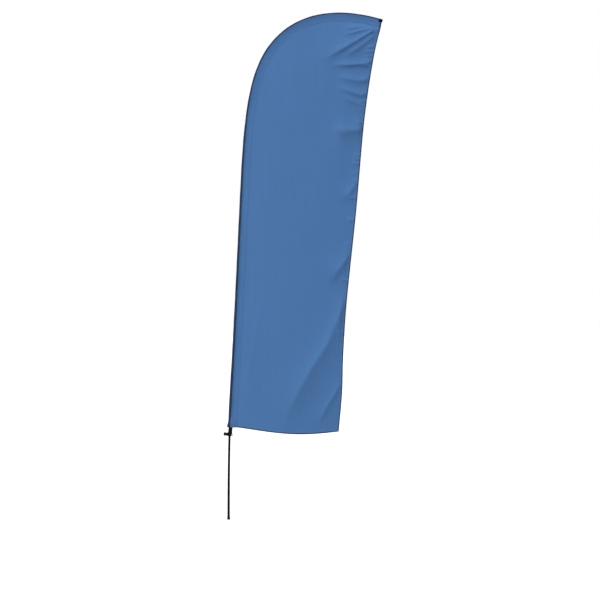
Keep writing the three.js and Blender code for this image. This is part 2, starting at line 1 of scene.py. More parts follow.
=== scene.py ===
"""Looks of the feather flag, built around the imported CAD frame.

Metres. +Z is up along the foot of the pole, +X points from the pole towards the cloth,
and the front of the flag faces -Y. "Pole coordinates" are (side, back, along): the
distance from the pole's centre towards the cloth, towards the back, and along the pole.
"""
import math
import random
from collections import namedtuple

import bmesh
import bpy
import numpy as np
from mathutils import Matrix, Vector


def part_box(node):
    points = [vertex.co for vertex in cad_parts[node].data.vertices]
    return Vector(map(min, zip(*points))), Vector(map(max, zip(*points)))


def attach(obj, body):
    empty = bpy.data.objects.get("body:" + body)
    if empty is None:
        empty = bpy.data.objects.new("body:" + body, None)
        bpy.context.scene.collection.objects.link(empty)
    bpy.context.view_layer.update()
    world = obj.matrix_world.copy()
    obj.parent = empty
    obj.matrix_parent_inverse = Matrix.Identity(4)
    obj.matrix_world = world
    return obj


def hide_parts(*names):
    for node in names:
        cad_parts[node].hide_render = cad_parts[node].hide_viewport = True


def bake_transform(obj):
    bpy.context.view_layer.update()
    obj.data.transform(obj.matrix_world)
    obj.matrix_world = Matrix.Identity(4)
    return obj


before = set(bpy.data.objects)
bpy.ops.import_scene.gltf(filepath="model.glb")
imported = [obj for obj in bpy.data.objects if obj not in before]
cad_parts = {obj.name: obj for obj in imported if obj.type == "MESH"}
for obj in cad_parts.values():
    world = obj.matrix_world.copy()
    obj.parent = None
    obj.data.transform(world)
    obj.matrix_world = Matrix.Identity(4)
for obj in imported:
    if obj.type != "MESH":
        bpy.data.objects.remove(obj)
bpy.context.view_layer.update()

# ---------------------------------------------------------------- driving dimensions

# The pole's centre line: x, z, lean towards +X in degrees, and the curve's two handles.
POLE_PATH = (
    (0.0, 0.0, 0.0, 0.0, 0.538),
    (0.0265, 0.9, 3.26, 0.241, 0.301),
    (0.0754, 1.9, 2.84, 0.318, 0.437),
    (0.272, 2.664, 45.0, 0.186, 0.216),
    (0.844, 2.756, 107.0, 0.2, 0.0),
)
FOOT_RADIUS = 0.0069
TAPER = 0.00135
SECTION_JOINTS = (0.85, 1.69, 2.52)
POLE_END = 3.313
SOCKET_RADIUS = 0.00475
SOCKET_DEPTH = 0.12
FERRULE_LENGTH = 0.08
FERRULE_WALL = 0.0009
FOOT_RING_HEIGHT = 0.018
TIP_CAP_START = 3.299
TIP_CAP_END = 3.318
TIP_CAP_WALL = 0.0011
TIP_CAP_SHOULDER = 0.002  # the cap starts to narrow this far before its end
TIP_CAP_NOSE = 0.7  # share of the cap's radius that is left at its nose
TIP_CAP_ROUNDING = 0.0005
POLE_SIDES = 40
POLE_STEP = 0.04
BEND_STEP = 0.012
ROD_ROUNDING = 0.0004
TUBE_ROUNDING = 0.0003
GAP = 0.0003

MOUTH = 0.5095
SLEEVE_END = 3.3205
SLEEVE_WIDTH = 0.042
SLEEVE_SLACK = 0.0025
SLEEVE_WALL = 0.0008
SEAM_ALLOWANCE = 0.004
SLEEVE_CLOTH = 0.0005
SEAM_HALF = 0.00065
SEAM_FLAT = 0.006
DRAWN_IN = 56.0  # degrees from the cloth's side where the drawn-in cloth leaves the pole
ARC_POINTS = 36
WALL_POINTS = 14
MOUTH_FLARE = 0.005
FLARE_LENGTH = 0.048
CUFF_HEIGHT = 0.016
CUFF_CLOTH = 0.0005
BEND_FROM = 2.0
BEND_FULL = 2.5
DRAW_FROM = 0.02  # above the mouth, where the cloth starts to draw in behind the pole
DRAW_FULL = 0.09
TAUT_IN_BEND = 0.75  # share of the drawing in that the bend pulls out again
FLARE_STEP = 0.003
SLEEVE_STEP = 0.011
SLEEVE_BEND_STEP = 0.007
SHORT_GATHERS = 0.0007
LONG_GATHERS = 0.00025
LAYER_GAP = 0.0001
# The tape reaches this far round so that its dark navy paints the shade down the sleeve's outer side.
TAPE_COLUMNS = 17  # how many points of the sleeve's row the tape reaches each way
TAPE_CLOTH = 0.0006
OVER_CUFF = 0.0009  # how far the cuff lifts the tape
OVER_CUFF_RUN = 0.006
POCKET_LENGTH = 0.017
POCKET_REACH = 0.012
POCKET_OFFSET = 0.0013
POCKET_CLOTH = 0.0011
POCKET_PAST = 0.0005
POCKET_STEP = 0.002
SEAM_ROWS = (0.0045, 0.0017)  # how far the seam's two rows of stitches are from its edge
CUFF_ROW = 0.004
CUFF_ROW_OFFSET = 0.0008

CLOTH = 0.00045
BINDING_WIDTH = 0.006
BINDING_LAP = 0.004
BINDING_ROW = 0.0014
BINDING_ROW_OFFSET = 0.00087
PANEL_ROWS = 441
PANEL_COLUMNS = 101
# Points of the free edge, x and z, from the foot to the tip.
FREE_EDGE = (
    (0.608, 0.483),
    (0.627, 0.7),
    (0.633, 0.9),
    (0.652, 1.2),
    (0.704, 1.7),
    (0.749, 2.2),
    (0.801, 2.55),
    (0.849, 2.752),
)
FREE_EDGE_USED = 0.982
FOOT_DROP = 0.0235
FOOT_SKEW = 1.15
FOOT_FADE = 0.14
BELLY = 0.015
CORNER_CURL = 0.02

COLLAR_AT = 0.472
COLLAR_RADIUS = 0.0115
COLLAR_HEIGHT = 0.019
COLLAR_CHAMFER = 0.001
COLLAR_CELL = 0.0004
CUT_REACH = 0.02  # far enough for a cut to pass right through the collar
LINER_INNER = 0.0066
LINER_OUTER = 0.008
BOSS_END = 0.0186
BOSS_HALF_WIDTH = 0.009
STUD_RADIUS = 0.003
STUD_FROM = 0.0093
STUD_TO = 0.031
SCREW_HOLE = (0.005, 0.03)
THREAD_PITCH = 0.001
THREAD_DEPTH = 0.0006
THREAD_RUN_OUT = 0.0015
POINT_LENGTH = 0.001
POINT_DEPTH = 0.0008
NUT_FROM = 0.0129
NUT_TO = 0.0164
NUT_HALF = 0.005
NUT_ROOM = 0.0001
NUT_BEVEL = 0.0005
PAD_FROM = 0.0066
PAD_TO = 0.009
PAD_RADIUS = 0.004
PAD_TRAVEL = 0.0025
PAD_ROOM = 0.0004
PAD_ROUNDING = 0.0005
KNOB_FROM = 0.0196
KNOB_LENGTH = 0.0134
KNOB_RADIUS = 0.01
KNOB_LOBES = 6
HUB = 0.0007  # the knob's hub reaches this far towards the boss
HUB_RADIUS = 0.0074

RING_WIRE = 0.00125
RING_MIDDLE = 0.0035
RING_HALF_WIDTH = 0.0136
RING_TOP = 0.0015
RING_BOTTOM = -0.0094
RING_CORNER = 0.003
RING_DEPTH = -0.0156
HOOK_WIDTH = 0.008
HOOK_TOP = -0.0026
HOOK_TIP = -0.013
HOOK_FRONT = -0.0204
HOOK_NOTCH_FRONT = -0.0174
HOOK_NOTCH_TOP = -0.0078
HOOK_ROOT = -0.009
HOOK_BEVEL = (0.002, 0.0025)

STRAP_WIDTH = 0.023
STRAP_OFFSET = 0.0025
STRAP_ROOM = 0.0008
STRAP_THICKNESS = 0.0016
STRAP_TOP = 0.055
STRAP_FOLD_TOP = 0.024
STRAP_STRAIGHT_TOP = 0.009
STRAP_EYE = 0.0065  # the strap's two layers meet this far above the ring's bar
STRAP_STEP = 0.0015

# Colours of the light that the surfaces send back, red, green and blue, linear.
CLOTH_BLUE = (0.078, 0.205, 0.467)
SLEEVE_BLUE = (0.077, 0.202, 0.463)
# The tapes' navy. On the sleeve's outer side this dark navy also paints the shade that falls down that side.
NAVY_TAPE_AND_PAINTED_SHADE = (0.016, 0.04, 0.1)

# ---------------------------------------------------------------- the folds of the cloth

# Each fold is a crest that stands towards the front, along a path given in shares of the
# panel's box, from its strong end to where it dies away. narrow and wide are how far its
# flanks reach at those two ends, steep is their slope, and skew widens the lower flank.
Fold = namedtuple("Fold", "path narrow wide steep skew")
FOLDS = (
    Fold(((0.985, 0.998), (0.9, 1.0), (0.8, 1.0)), 0.006, 0.014, 0.2, 1.0),
    Fold(((0.982, 0.994), (0.87, 0.987), (0.73, 0.981)), 0.007, 0.016, 0.36, 0.7),
    Fold(((0.98, 0.988), (0.86, 0.976), (0.72, 0.965)), 0.007, 0.018, 0.34, 0.8),
    Fold(((0.978, 0.982), (0.83, 0.951), (0.66, 0.917), (0.58, 0.9)), 0.012, 0.042, 0.3, 0.6),
    Fold(((0.965, 0.965), (0.85, 0.935), (0.72, 0.906)), 0.012, 0.03, 0.2, 0.8),
    Fold(((0.965, 0.9), (0.81, 0.894), (0.64, 0.893)), 0.013, 0.03, 0.3, 0.6),
    Fold(((0.955, 0.856), (0.83, 0.856), (0.68, 0.868)), 0.014, 0.03, 0.22, 0.8),
    Fold(((0.945, 0.818), (0.83, 0.824), (0.69, 0.845)), 0.014, 0.028, 0.26, 0.7),
    Fold(((0.935, 0.786), (0.85, 0.8), (0.72, 0.82)), 0.012, 0.024, 0.18, 0.9),
    Fold(((0.89, 0.738), (0.77, 0.734), (0.65, 0.738)), 0.03, 0.05, 0.2, 1.1),
    Fold(((0.88, 0.62), (0.8, 0.59), (0.73, 0.56)), 0.014, 0.032, 0.18, 1.0),
    Fold(((0.83, 0.45), (0.74, 0.41), (0.64, 0.36)), 0.03, 0.045, 0.16, 0.7),
    Fold(((0.79, 0.35), (0.7, 0.27), (0.62, 0.21), (0.52, 0.158), (0.43, 0.1), (0.36, 0.05),
          (0.3, -0.02)), 0.028, 0.045, 0.24, 1.5),
    Fold(((0.75, 0.13), (0.64, 0.07), (0.55, 0.01)), 0.02, 0.032, 0.16, 0.8),
    Fold(((0.12, 0.35), (0.06, 0.25), (0.01, 0.15)), 0.012, 0.02, 0.07, 1.0),
    Fold(((0.16, 0.32), (0.11, 0.21), (0.05, 0.08)), 0.012, 0.02, 0.07, 1.0),
)
# Short puckers across the free edge, as shares of the panel's height.
EDGE_PUCKERS = (0.95, 0.938, 0.926, 0.913, 0.9, 0.872, 0.835, 0.813, 0.796, 0.76,
                0.68, 0.67, 0.66, 0.634, 0.617, 0.575, 0.52, 0.46, 0.37, 0.24)
STRONG_PUCKERS_FROM = 0.89
CREST_ROUNDING = 0.22
FOLD_STRENGTH = 1.7
HELD_BY_TAPE = 0.3  # share of a fold's height that the taped free edge still lets through

# ---------------------------------------------------------------- numbers and lines


def smoothstep(value, low, high):
    share = np.clip((value - low) / (high - low), 0.0, 1.0)
    return share * share * (3.0 - 2.0 * share)


def lerp(start, end, share):
    return start + (end - start) * share


def steps(start, end, size):
    """Even steps from one value to another, no longer than size."""
    return np.linspace(start, end, max(1, math.ceil(abs(end - start) / size - 1e-9)) + 1)


class Line:
    """A curve in the XZ plane, sampled finely and looked up by the distance along it."""

    def __init__(self, x, z):
        lengths = np.hypot(np.diff(x), np.diff(z))
        self.x, self.z = x, z
        self.along = np.concatenate([[0.0], np.cumsum(lengths)])
        self.length = self.along[-1]
        self.lean = np.arctan2(np.gradient(x, self.along), np.gradient(z, self.along))

    def at(self, along):
        """Place and lean at a distance, straight on past either end."""
        inside = np.clip(along, 0.0, self.length)
        lean = np.interp(inside, self.along, self.lean)
        past = along - inside
        x = np.interp(inside, self.along, self.x) + past * np.sin(lean)
        z = np.interp(inside, self.along, self.z) + past * np.cos(lean)
        return x, z, lean


def pole_line(samples=1500):
    xs, zs = [], []
    t = np.linspace(0.0, 1.0, samples, endpoint=False)
    for (x0, z0, lean0, _, after), (x1, z1, lean1, before, _) in zip(POLE_PATH, POLE_PATH[1:]):
        lean0, lean1 = math.radians(lean0), math.radians(lean1)
        weights = ((1 - t) ** 3, 3 * t * (1 - t) ** 2, 3 * t * t * (1 - t), t ** 3)
        handles_x = (x0, x0 + after * math.sin(lean0), x1 - before * math.sin(lean1), x1)
        handles_z = (z0, z0 + after * math.cos(lean0), z1 - before * math.cos(lean1), z1)
        xs.append(sum(w * h for w, h in zip(weights, handles_x)))
        zs.append(sum(w * h for w, h in zip(weights, handles_z)))
    end = POLE_PATH[-1]
    return Line(np.append(np.concatenate(xs), end[0]), np.append(np.concatenate(zs), end[1]))


def through(points, samples=200):
    """A smooth curve through points: uniform Catmull-Rom, with its ends mirrored."""
    p = np.array(points, float)
    p = np.vstack([2 * p[0] - p[1], p, 2 * p[-1] - p[-2]])
    t = np.linspace(0.0, 1.0, samples, endpoint=False)[:, None]
    runs = []
    for a, b, c, d in zip(p, p[1:], p[2:], p[3:]):
        runs.append(0.5 * (2 * b + (c - a) * t + (2 * a - 5 * b + 4 * c - d) * t ** 2
                           + (3 * b - a - 3 * c + d) * t ** 3))
    return np.vstack(runs + [p[-2:-1]])


POLE = pole_line()
EDGE = Line(*through(FREE_EDGE).T)


def on_pole(side, back, along):
    """Points given in pole coordinates, in the part's frame."""
    side, back, along = np.broadcast_arrays(*(np.asarray(v, float) for v in (side, back, along)))
    x, z, lean = POLE.at(along)
    return np.stack([x + side * np.cos(lean), back, z - side * np.sin(lean)], -1)


def pole_radius(along):
    return FOOT_RADIUS - TAPER * along


def sleeve_radius(along):
    flare = MOUTH_FLARE * (1.0 - smoothstep(along, MOUTH, MOUTH + FLARE_LENGTH))
    return pole_radius(along) + SLEEVE_SLACK + flare


# ---------------------------------------------------------------- mesh helpers


def grid_faces(rows, columns, wrap_rows=False, wrap_columns=False):
    faces = []
    for r in range(rows if wrap_rows else rows - 1):
        low, high = r * columns, ((r + 1) % rows) * columns
        for c in range(columns if wrap_columns else columns - 1):
            d = (c + 1) % columns
            faces.append((low + c, low + d, high + d, high + c))
    return faces


def skin(rings):
    """A closed body from rings of points: quads between them and a face at each end."""
    rows, size = rings.shape[:2]
    faces = grid_faces(rows, size, wrap_columns=True)
    faces.append(tuple(range(size)))
    faces.append(tuple(range((rows - 1) * size, rows * size)))
    return rings.reshape(-1, 3), faces


def hoop(rings):
    """A closed body from rings that close on each other."""
    rows, size = rings.shape[:2]
    return rings.reshape(-1, 3), grid_faces(rows, size, True, True)


def surface_normals(grid):
    across = np.gradient(grid, axis=1)
    up = np.gradient(grid, axis=0)
    normals = np.cross(across, up)
    return normals / np.maximum(np.linalg.norm(normals, axis=2, keepdims=True), 1e-12)


def thick_sheet(grid, thickness):
    """A closed sheet of even thickness about a grid of points."""
    rows, columns = grid.shape[:2]
    half = surface_normals(grid) * thickness / 2
    count = rows * columns
    faces = grid_faces(rows, columns)
    faces += [tuple(count + i for i in reversed(face)) for face in faces]
    index = np.arange(count).reshape(rows, columns)
    border = np.concatenate([index[0], index[1:, -1], index[-1, -2::-1], index[-2:0:-1, 0]])
    for a, b in zip(border, np.roll(border, -1)):
        faces.append((int(b), int(a), int(a + count), int(b + count)))
    return np.concatenate([grid + half, grid - half]).reshape(-1, 3), faces


def turned(profile, sides, lay):
    """A turned body from (radius, height) pairs that start and end on the axis, or close
    on themselves. lay(x, y, height) gives the points their place."""
    points, rings = [], []
    angles = np.linspace(0.0, 2 * math.pi, sides, endpoint=False)
    for radius, height in profile:
        if radius == 0:
            rings.append([len(points)] * sides)
            points.append((0.0, 0.0, height))
        else:
            rings.append(list(range(len(points), len(points) + sides)))
            points += [(radius * math.cos(a), radius * math.sin(a), height) for a in angles]
    pairs = list(zip(rings, rings[1:]))
    if profile[0][0] > 0:
        pairs.append((rings[-1], rings[0]))
    faces = []
    for low, high in pairs:
        for i in range(sides):
            j = (i + 1) % sides
            corners = (low[i], low[j], high[j], high[i])
            faces.append(tuple(dict.fromkeys(corners)))
    return lay(*np.array(points).T), faces


def cylinder(radius, low, high):
    """The profile of a plain round bar between two heights."""
    return [(0.0, low), (radius, low), (radius, high), (0.0, high)]


def softened(profile, radius):
    """The corners of a profile cut off twice, so that they catch the light as rounded."""
    closed = profile[0] == profile[-1]
    p = [Vector(point) for point in (profile[:-1] if closed else profile)]
    made = []
    for i, corner in enumerate(p):
        before, after = p[i - 1], p[(i + 1) % len(p)]
        end = not closed and i in (0, len(p) - 1)
        turn = 0.0 if end else (corner - before).angle(after - corner, 0.0)
        if turn < math.radians(20):
            made.append(tuple(corner))
            continue
        cut = min(radius, (corner - before).length / 3, (after - corner).length / 3)
        start = corner + (before - corner).normalized() * cut
        stop = corner + (after - corner).normalized() * cut
        middle = (start + stop) / 4 + corner / 2
        made += [tuple(start), tuple(middle), tuple(stop)]
    return made


def make(name, body, points, faces, material=None, sharp=38.0):
    """A mesh object with its faces pointing out and its smooth parts shaded smooth."""
    mesh = bpy.data.meshes.new(name)
    mesh.from_pydata([tuple(p) for p in np.asarray(points, float)], [], faces)
    bm = bmesh.new()
    bm.from_mesh(mesh)
    bmesh.ops.recalc_face_normals(bm, faces=bm.faces)
    bm.to_mesh(mesh)
    bm.free()
    return finish_mesh(name, body, mesh, material, sharp)


def linked(name, data):
    """A new object in the scene."""
    made = bpy.data.objects.new(name, data)
    bpy.context.scene.collection.objects.link(made)
    return made


def finish_mesh(name, body, mesh, material, sharp):
    mesh.shade_smooth()
    mesh.set_sharp_from_angle(angle=math.radians(sharp))
    if material:
        mesh.materials.append(material)
    piece = linked(name, mesh)
    if body:
        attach(piece, body)
    return piece


def joined(parts):
    """Several bodies as one list of points and one of faces."""
    points, faces, count = [], [], 0
    for more_points, more_faces in parts:
        faces += [tuple(i + count for i in face) for face in more_faces]
        points.append(np.asarray(more_points, float))
        count += len(more_points)
    return np.concatenate(points), faces


# ---------------------------------------------------------------- stitches


def stitches(path, out, pitch=0.0055, length=0.0038, radius=0.00028):
    """Thread stitches along a path of points, each a slim grain that lies on the cloth.
    out gives the direction away from the cloth at each point."""
    gaps = np.linalg.norm(np.diff(path, axis=0), axis=1)
    along = np.concatenate([[0.0], np.cumsum(gaps)])
    starts = np.arange(pitch / 2, along[-1] - length, pitch)

    def at(values, where):
        return np.stack([np.interp(where, along, values[:, i]) for i in range(3)], -1)

    start, end = at(path, starts), at(path, starts + length)
    lift = at(out, starts + length / 2)
    lift /= np.linalg.norm(lift, axis=1, keepdims=True)
    side = np.cross(end - start, lift)
    side /= np.linalg.norm(side, axis=1, keepdims=True)
    rings = [start[:, None]]
    for share in (0.22, 0.78):
        middle = lerp(start, end, share) + lift * radius * 0.4
        rings.append(np.stack([middle + side * radius, middle + lift * radius,
                               middle - side * radius, middle - lift * radius], 1))
    points = np.concatenate(rings + [end[:, None]], 1)
    faces = []
    for i in range(4):
        j = (i + 1) % 4
        faces += [(0, 1 + j, 1 + i), (1 + i, 1 + j, 5 + j, 5 + i), (5 + i, 5 + j, 9)]
    count = points.shape[1]
    all_faces = [tuple(k * count + v for v in face) for k in range(len(points)) for face in faces]
    return points.reshape(-1, 3), all_faces


# ---------------------------------------------------------------- materials


class Look:
    """A Principled material with short ways to add noise, bands and bump."""

    def __init__(self, name, **settings):
        self.material = bpy.data.materials.new(name)
        self.material.use_nodes = True
        self.nodes = self.material.node_tree.nodes
        self.links = self.material.node_tree.links
        self.shader = self.nodes["Principled BSDF"]
        for socket, value in settings.items():
            self.shader.inputs[socket.replace("_", " ")].default_value = value
        self.place = self.nodes.new("ShaderNodeTexCoord").outputs["Object"]

    def stretched(self, scale, turn=0.0):
        mapping = self.nodes.new("ShaderNodeMapping")
        mapping.inputs["Scale"].default_value = scale
        mapping.inputs["Rotation"].default_value = (0.0, turn, 0.0)
        self.links.new(self.place, mapping.inputs["Vector"])
        return mapping.outputs["Vector"]

    def noise(self, scale, detail=3.0, where=None):
        node = self.nodes.new("ShaderNodeTexNoise")
        node.inputs["Scale"].default_value = scale
        node.inputs["Detail"].default_value = detail
        self.links.new(where or self.place, node.inputs["Vector"])
        return node.outputs["Fac"]

    def bands(self, period, axis, distortion=0.0, where=None):
        node = self.nodes.new("ShaderNodeTexWave")
        node.bands_direction = axis
        node.inputs["Scale"].default_value = 2 * math.pi / (20.0 * period)
        node.inputs["Distortion"].default_value = distortion
        self.links.new(where or self.place, node.inputs["Vector"])
        return node.outputs["Fac"]

    def combine(self, operation, first, second):
        node = self.nodes.new("ShaderNodeMath")
        node.operation = operation
        self.links.new(first, node.inputs[0])
        if isinstance(second, float):
            node.inputs[1].default_value = second
        else:
            self.links.new(second, node.inputs[1])
        return node.outputs[0]

    def ramp(self, factor, low, high, start=0.3, end=0.7):
        node = self.nodes.new("ShaderNodeValToRGB")
        stops = node.color_ramp.elements
        stops[0].position, stops[1].position = start, end
        stops[0].color, stops[1].color = (*low, 1.0), (*high, 1.0)
        self.links.new(factor, node.inputs["Fac"])
        return node.outputs["Color"]

    def colour(self, factor, low, high, start=0.3, end=0.7):
        self.links.new(self.ramp(factor, low, high, start, end), self.shader.inputs["Base Color"])

    def roughness(self, factor, low, high):
        node = self.nodes.new("ShaderNodeMapRange")
        node.inputs["To Min"].default_value = low
        node.inputs["To Max"].default_value = high
        self.links.new(factor, node.inputs["Value"])
        self.links.new(node.outputs["Result"], self.shader.inputs["Roughness"])

    def bump(self, height, depth, strength=1.0):
        node = self.nodes.new("ShaderNodeBump")
        node.inputs["Distance"].default_value = depth
        node.inputs["Strength"].default_value = strength
        self.links.new(height, node.inputs["Height"])
        self.links.new(node.outputs["Normal"], self.shader.inputs["Normal"])


def shade(colour, amount):
    return tuple(channel * amount for channel in colour)


def knit_cloth(name, colour, variation=0.03, period=0.0011):
    """Woven polyester: crossing threads, slubs along them and faint uneven dye."""
    look = Look(name, Roughness=0.8, Sheen_Weight=0.12, Sheen_Roughness=0.5, Specular_IOR_Level=0.25)
    warp = look.bands(period, "X", 0.4)
    weft = look.bands(period, "Z", 0.4)
    weave = look.combine("MAXIMUM", warp, weft)
    dye = look.noise(5.0, 4.0)
    slubs = look.noise(60.0, 2.0, look.stretched((1.0, 1.0, 0.08)))
    uneven = look.combine("MULTIPLY", look.combine("ADD", dye, slubs), 0.5)
    look.colour(uneven, shade(colour, 1 - variation), shade(colour, 1 + variation))
    look.roughness(look.noise(900.0, 1.0), 0.74, 0.88)
    look.bump(weave, 0.00008, 0.5)
    return look.material


def webbing(name, colour):
    """Ribbed narrow webbing, with the ribs running along it."""
    look = Look(name, Roughness=0.75, Sheen_Weight=0.03, Specular_IOR_Level=0.12)
    ribs = look.bands(0.0016, "X", 0.3)
    picks = look.bands(0.0008, "Z", 0.8)
    weave = look.combine("MULTIPLY", ribs, picks)
    look.colour(weave, shade(colour, 0.7), shade(colour, 1.3))
    look.roughness(look.noise(1500.0, 2.0), 0.68, 0.88)
    look.bump(weave, 0.0002, 0.8)
    return look.material


def thread(name, colour):
    look = Look(name, Roughness=0.6, Sheen_Weight=0.1)
    look.colour(look.noise(2500.0, 2.0), shade(colour, 0.8), shade(colour, 1.2))
    look.bump(look.bands(0.0006, "DIAGONAL"), 0.00005, 0.6)
    return look.material


def glass_fibre(name):
    """Black pultruded rod: glossy, with fine streaks along its length."""
    look = Look(name, Coat_Weight=0.04, Coat_Roughness=0.3, Specular_IOR_Level=0.16)
    streaks = look.noise(1.0, 5.0, look.stretched((900.0, 900.0, 9.0)))
    look.colour(streaks, (0.0022, 0.0022, 0.0026), (0.007, 0.007, 0.0078))
    look.roughness(streaks, 0.3, 0.5)
    look.bump(streaks, 0.00005, 0.35)
    return look.material


def dark_metal(name):
    """Black plated tube, turned, with paler scuffs."""
    look = Look(name, Metallic=0.85)
    turning = look.noise(1.0, 4.0, look.stretched((40.0, 40.0, 2600.0)))
    scuffs = look.noise(160.0, 6.0)
    look.colour(scuffs, (0.02, 0.021, 0.022), (0.08, 0.08, 0.084), 0.5, 0.8)
    look.roughness(scuffs, 0.28, 0.5)
    look.bump(turning, 0.00004, 0.4)
    return look.material


def zinc(name):
    look = Look(name, Metallic=1.0)
    spangle = look.noise(420.0, 3.0)
    look.colour(spangle, (0.36, 0.37, 0.39), (0.58, 0.59, 0.6))
    look.roughness(spangle, 0.24, 0.42)
    look.bump(look.noise(2400.0, 2.0), 0.00004, 0.4)
    return look.material


def ring_steel(name):
    """Black coated wire."""
    look = Look(name, Metallic=0.7)
    wear = look.noise(500.0, 5.0)
    look.colour(wear, (0.02, 0.02, 0.021), (0.1, 0.1, 0.105), 0.55, 0.8)
    look.roughness(wear, 0.3, 0.5)
    look.bump(look.noise(1800.0, 2.0), 0.00004, 0.5)
    return look.material


def moulded_nylon(name):
    """Black moulded plastic with a fine spark-eroded grain."""
    look = Look(name, Specular_IOR_Level=0.2)
    grain = look.noise(2600.0, 2.0)
    flow = look.noise(90.0, 3.0)
    look.colour(flow, (0.0035, 0.0035, 0.004), (0.009, 0.009, 0.0098))
    look.roughness(flow, 0.42, 0.6)
    look.bump(grain, 0.00006, 0.6)
    return look.material


def rubber(name):
    look = Look(name, Specular_IOR_Level=0.3)
    grain = look.noise(1400.0, 4.0)
    look.colour(grain, (0.006, 0.006, 0.006), (0.016, 0.016, 0.016))
    look.roughness(grain, 0.7, 0.9)
    look.bump(grain, 0.0001, 0.6)
    return look.material


CLOTH_LOOK = knit_cloth("flag_cloth", CLOTH_BLUE)
SLEEVE_LOOK = knit_cloth("sleeve_cloth", SLEEVE_BLUE, 0.04, 0.0014)
TAPE_AND_PAINTED_SHADE_LOOK = knit_cloth("binding_tape_and_painted_shade", NAVY_TAPE_AND_PAINTED_SHADE, 0.08, 0.0009)
WEBBING_LOOK = webbing("black_webbing", (0.006, 0.006, 0.0068))
BLUE_THREAD = thread("blue_thread", shade(SLEEVE_BLUE, 0.8))
NAVY_THREAD = thread("navy_thread", shade(NAVY_TAPE_AND_PAINTED_SHADE, 0.75))
BLACK_THREAD = thread("black_thread", (0.02, 0.02, 0.022))
FIBRE_LOOK = glass_fibre("glass_fibre")
FERRULE_LOOK = dark_metal("dark_ferrule")
WIRE_LOOK = ring_steel("coated_wire")
NYLON_LOOK = moulded_nylon("moulded_nylon")
RUBBER_LOOK = rubber("liner_rubber")
ZINC_LOOK = zinc("zinc_plate")

# ---------------------------------------------------------------- pole


def along_pole(from_place, to_place, extra=0.0):
    """(radius, distance) pairs of the tapered wall, close together where the pole bends."""
    bend = min(max(BEND_FROM, from_place), to_place)
    places = np.concatenate([steps(from_place, bend, POLE_STEP), steps(bend, to_place, BEND_STEP)])
    return [(pole_radius(s) + extra, s) for s in np.unique(places)]


def build_pole():
    edges = [0.0, *SECTION_JOINTS, POLE_END]
    names = ("base_section", "lower_section", "upper_section", "tip_section")
    for i, node in enumerate(names):
        low = edges[i] + (GAP / 2 if i else 0.0)
        high = edges[i + 1] - (GAP / 2 if i < 3 else 0.0)
        start = [(0.0, low)]
        if i == 0:
            start = [(0.0, SOCKET_DEPTH), (SOCKET_RADIUS, SOCKET_DEPTH), (SOCKET_RADIUS, 0.0)]
        profile = softened([*start, *along_pole(low, high), (0.0, high)], ROD_ROUNDING)
        rod = make(f"pole_{node}", "flag", *turned(profile, POLE_SIDES, on_pole), FIBRE_LOOK)
        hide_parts(node)


def tube_piece(name, node, low, high, look):
    """A thin tube round the pole with softened rims."""
    outside = along_pole(low, high, GAP + FERRULE_WALL)
    bore = along_pole(low, high, GAP)[::-1]
    profile = softened([*outside, *bore, outside[0]], TUBE_ROUNDING)
    tube = make(name, "flag", *turned(profile, POLE_SIDES, on_pole), look)
    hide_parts(node)


def build_pole_fittings():
    for where, middle in zip(("lower", "middle", "upper"), SECTION_JOINTS):
        half = FERRULE_LENGTH / 2
        tube_piece(f"{where}_joint_tube", f"{where}_ferrule", middle - half, middle + half,
                   FERRULE_LOOK)
    tube_piece("foot_rim", "foot_ring", 0.0, FOOT_RING_HEIGHT, FERRULE_LOOK)
    bore = pole_radius(POLE_END) + GAP
    outer = bore + TIP_CAP_WALL
    profile = [
        (0.0, POLE_END + GAP),
        (bore, POLE_END + GAP),
        (bore, TIP_CAP_START),
        (outer, TIP_CAP_START),
        (outer, TIP_CAP_END - TIP_CAP_SHOULDER),
        (outer * TIP_CAP_NOSE, TIP_CAP_END - TIP_CAP_ROUNDING),
        (0.0, TIP_CAP_END),
    ]
    profile = softened(profile, TIP_CAP_ROUNDING)
    cap = make("pole_tip_cap", "flag", *turned(profile, 32, on_pole), NYLON_LOOK)
    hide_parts("tip_cap")


# ---------------------------------------------------------------- sleeve


def wrap(radius, along, offset, until=SLEEVE_WIDTH):
    """One row of points round the pole, from the seam in front to the seam behind. The
    cloth draws in close behind the pole, less so at the mouth and in the bend. offset
    moves the row off the sleeve's surface. The row stops where side reaches until."""
    apex = SLEEVE_WIDTH - SEAM_FLAT
    r = radius + offset
    flat = SEAM_HALF + offset
    taut = math.acos((r - flat * 0.5) / apex)
    slack = smoothstep(along, MOUTH + DRAW_FROM, MOUTH + DRAW_FULL)
    slack = slack * (1 - TAUT_IN_BEND * smoothstep(along, BEND_FROM, BEND_FULL))
    leave = lerp(taut, math.radians(DRAWN_IN), slack)
    angles = np.linspace(-leave, leave - 2 * math.pi, ARC_POINTS)
    arc = np.stack([r * np.cos(angles), r * np.sin(angles)], -1)
    depth, run = -arc[0, 1] - flat, apex - arc[0, 0]
    power = max(1.0, run / (depth * math.tan(leave)))
    shares = np.linspace(0.0, 1.0, WALL_POINTS + 1)[:-1]
    wall = np.stack([apex - run * shares, -flat - depth * shares ** power], -1)
    front = [p for p in wall if p[0] < until]
    if until > apex:
        front = [np.array([until, -flat]), *front]
    back = [p * (1, -1) for p in reversed(front)]
    row = np.array([*front, *arc, *back])
    return on_pole(row[:, 0], row[:, 1], along)


def sleeve_rows():
    return np.concatenate([steps(MOUTH, MOUTH + FLARE_LENGTH, FLARE_STEP)[:-1],
                           steps(MOUTH + FLARE_LENGTH, BEND_FROM, SLEEVE_STEP)[:-1],
                           steps(BEND_FROM, SLEEVE_END, SLEEVE_BEND_STEP)])


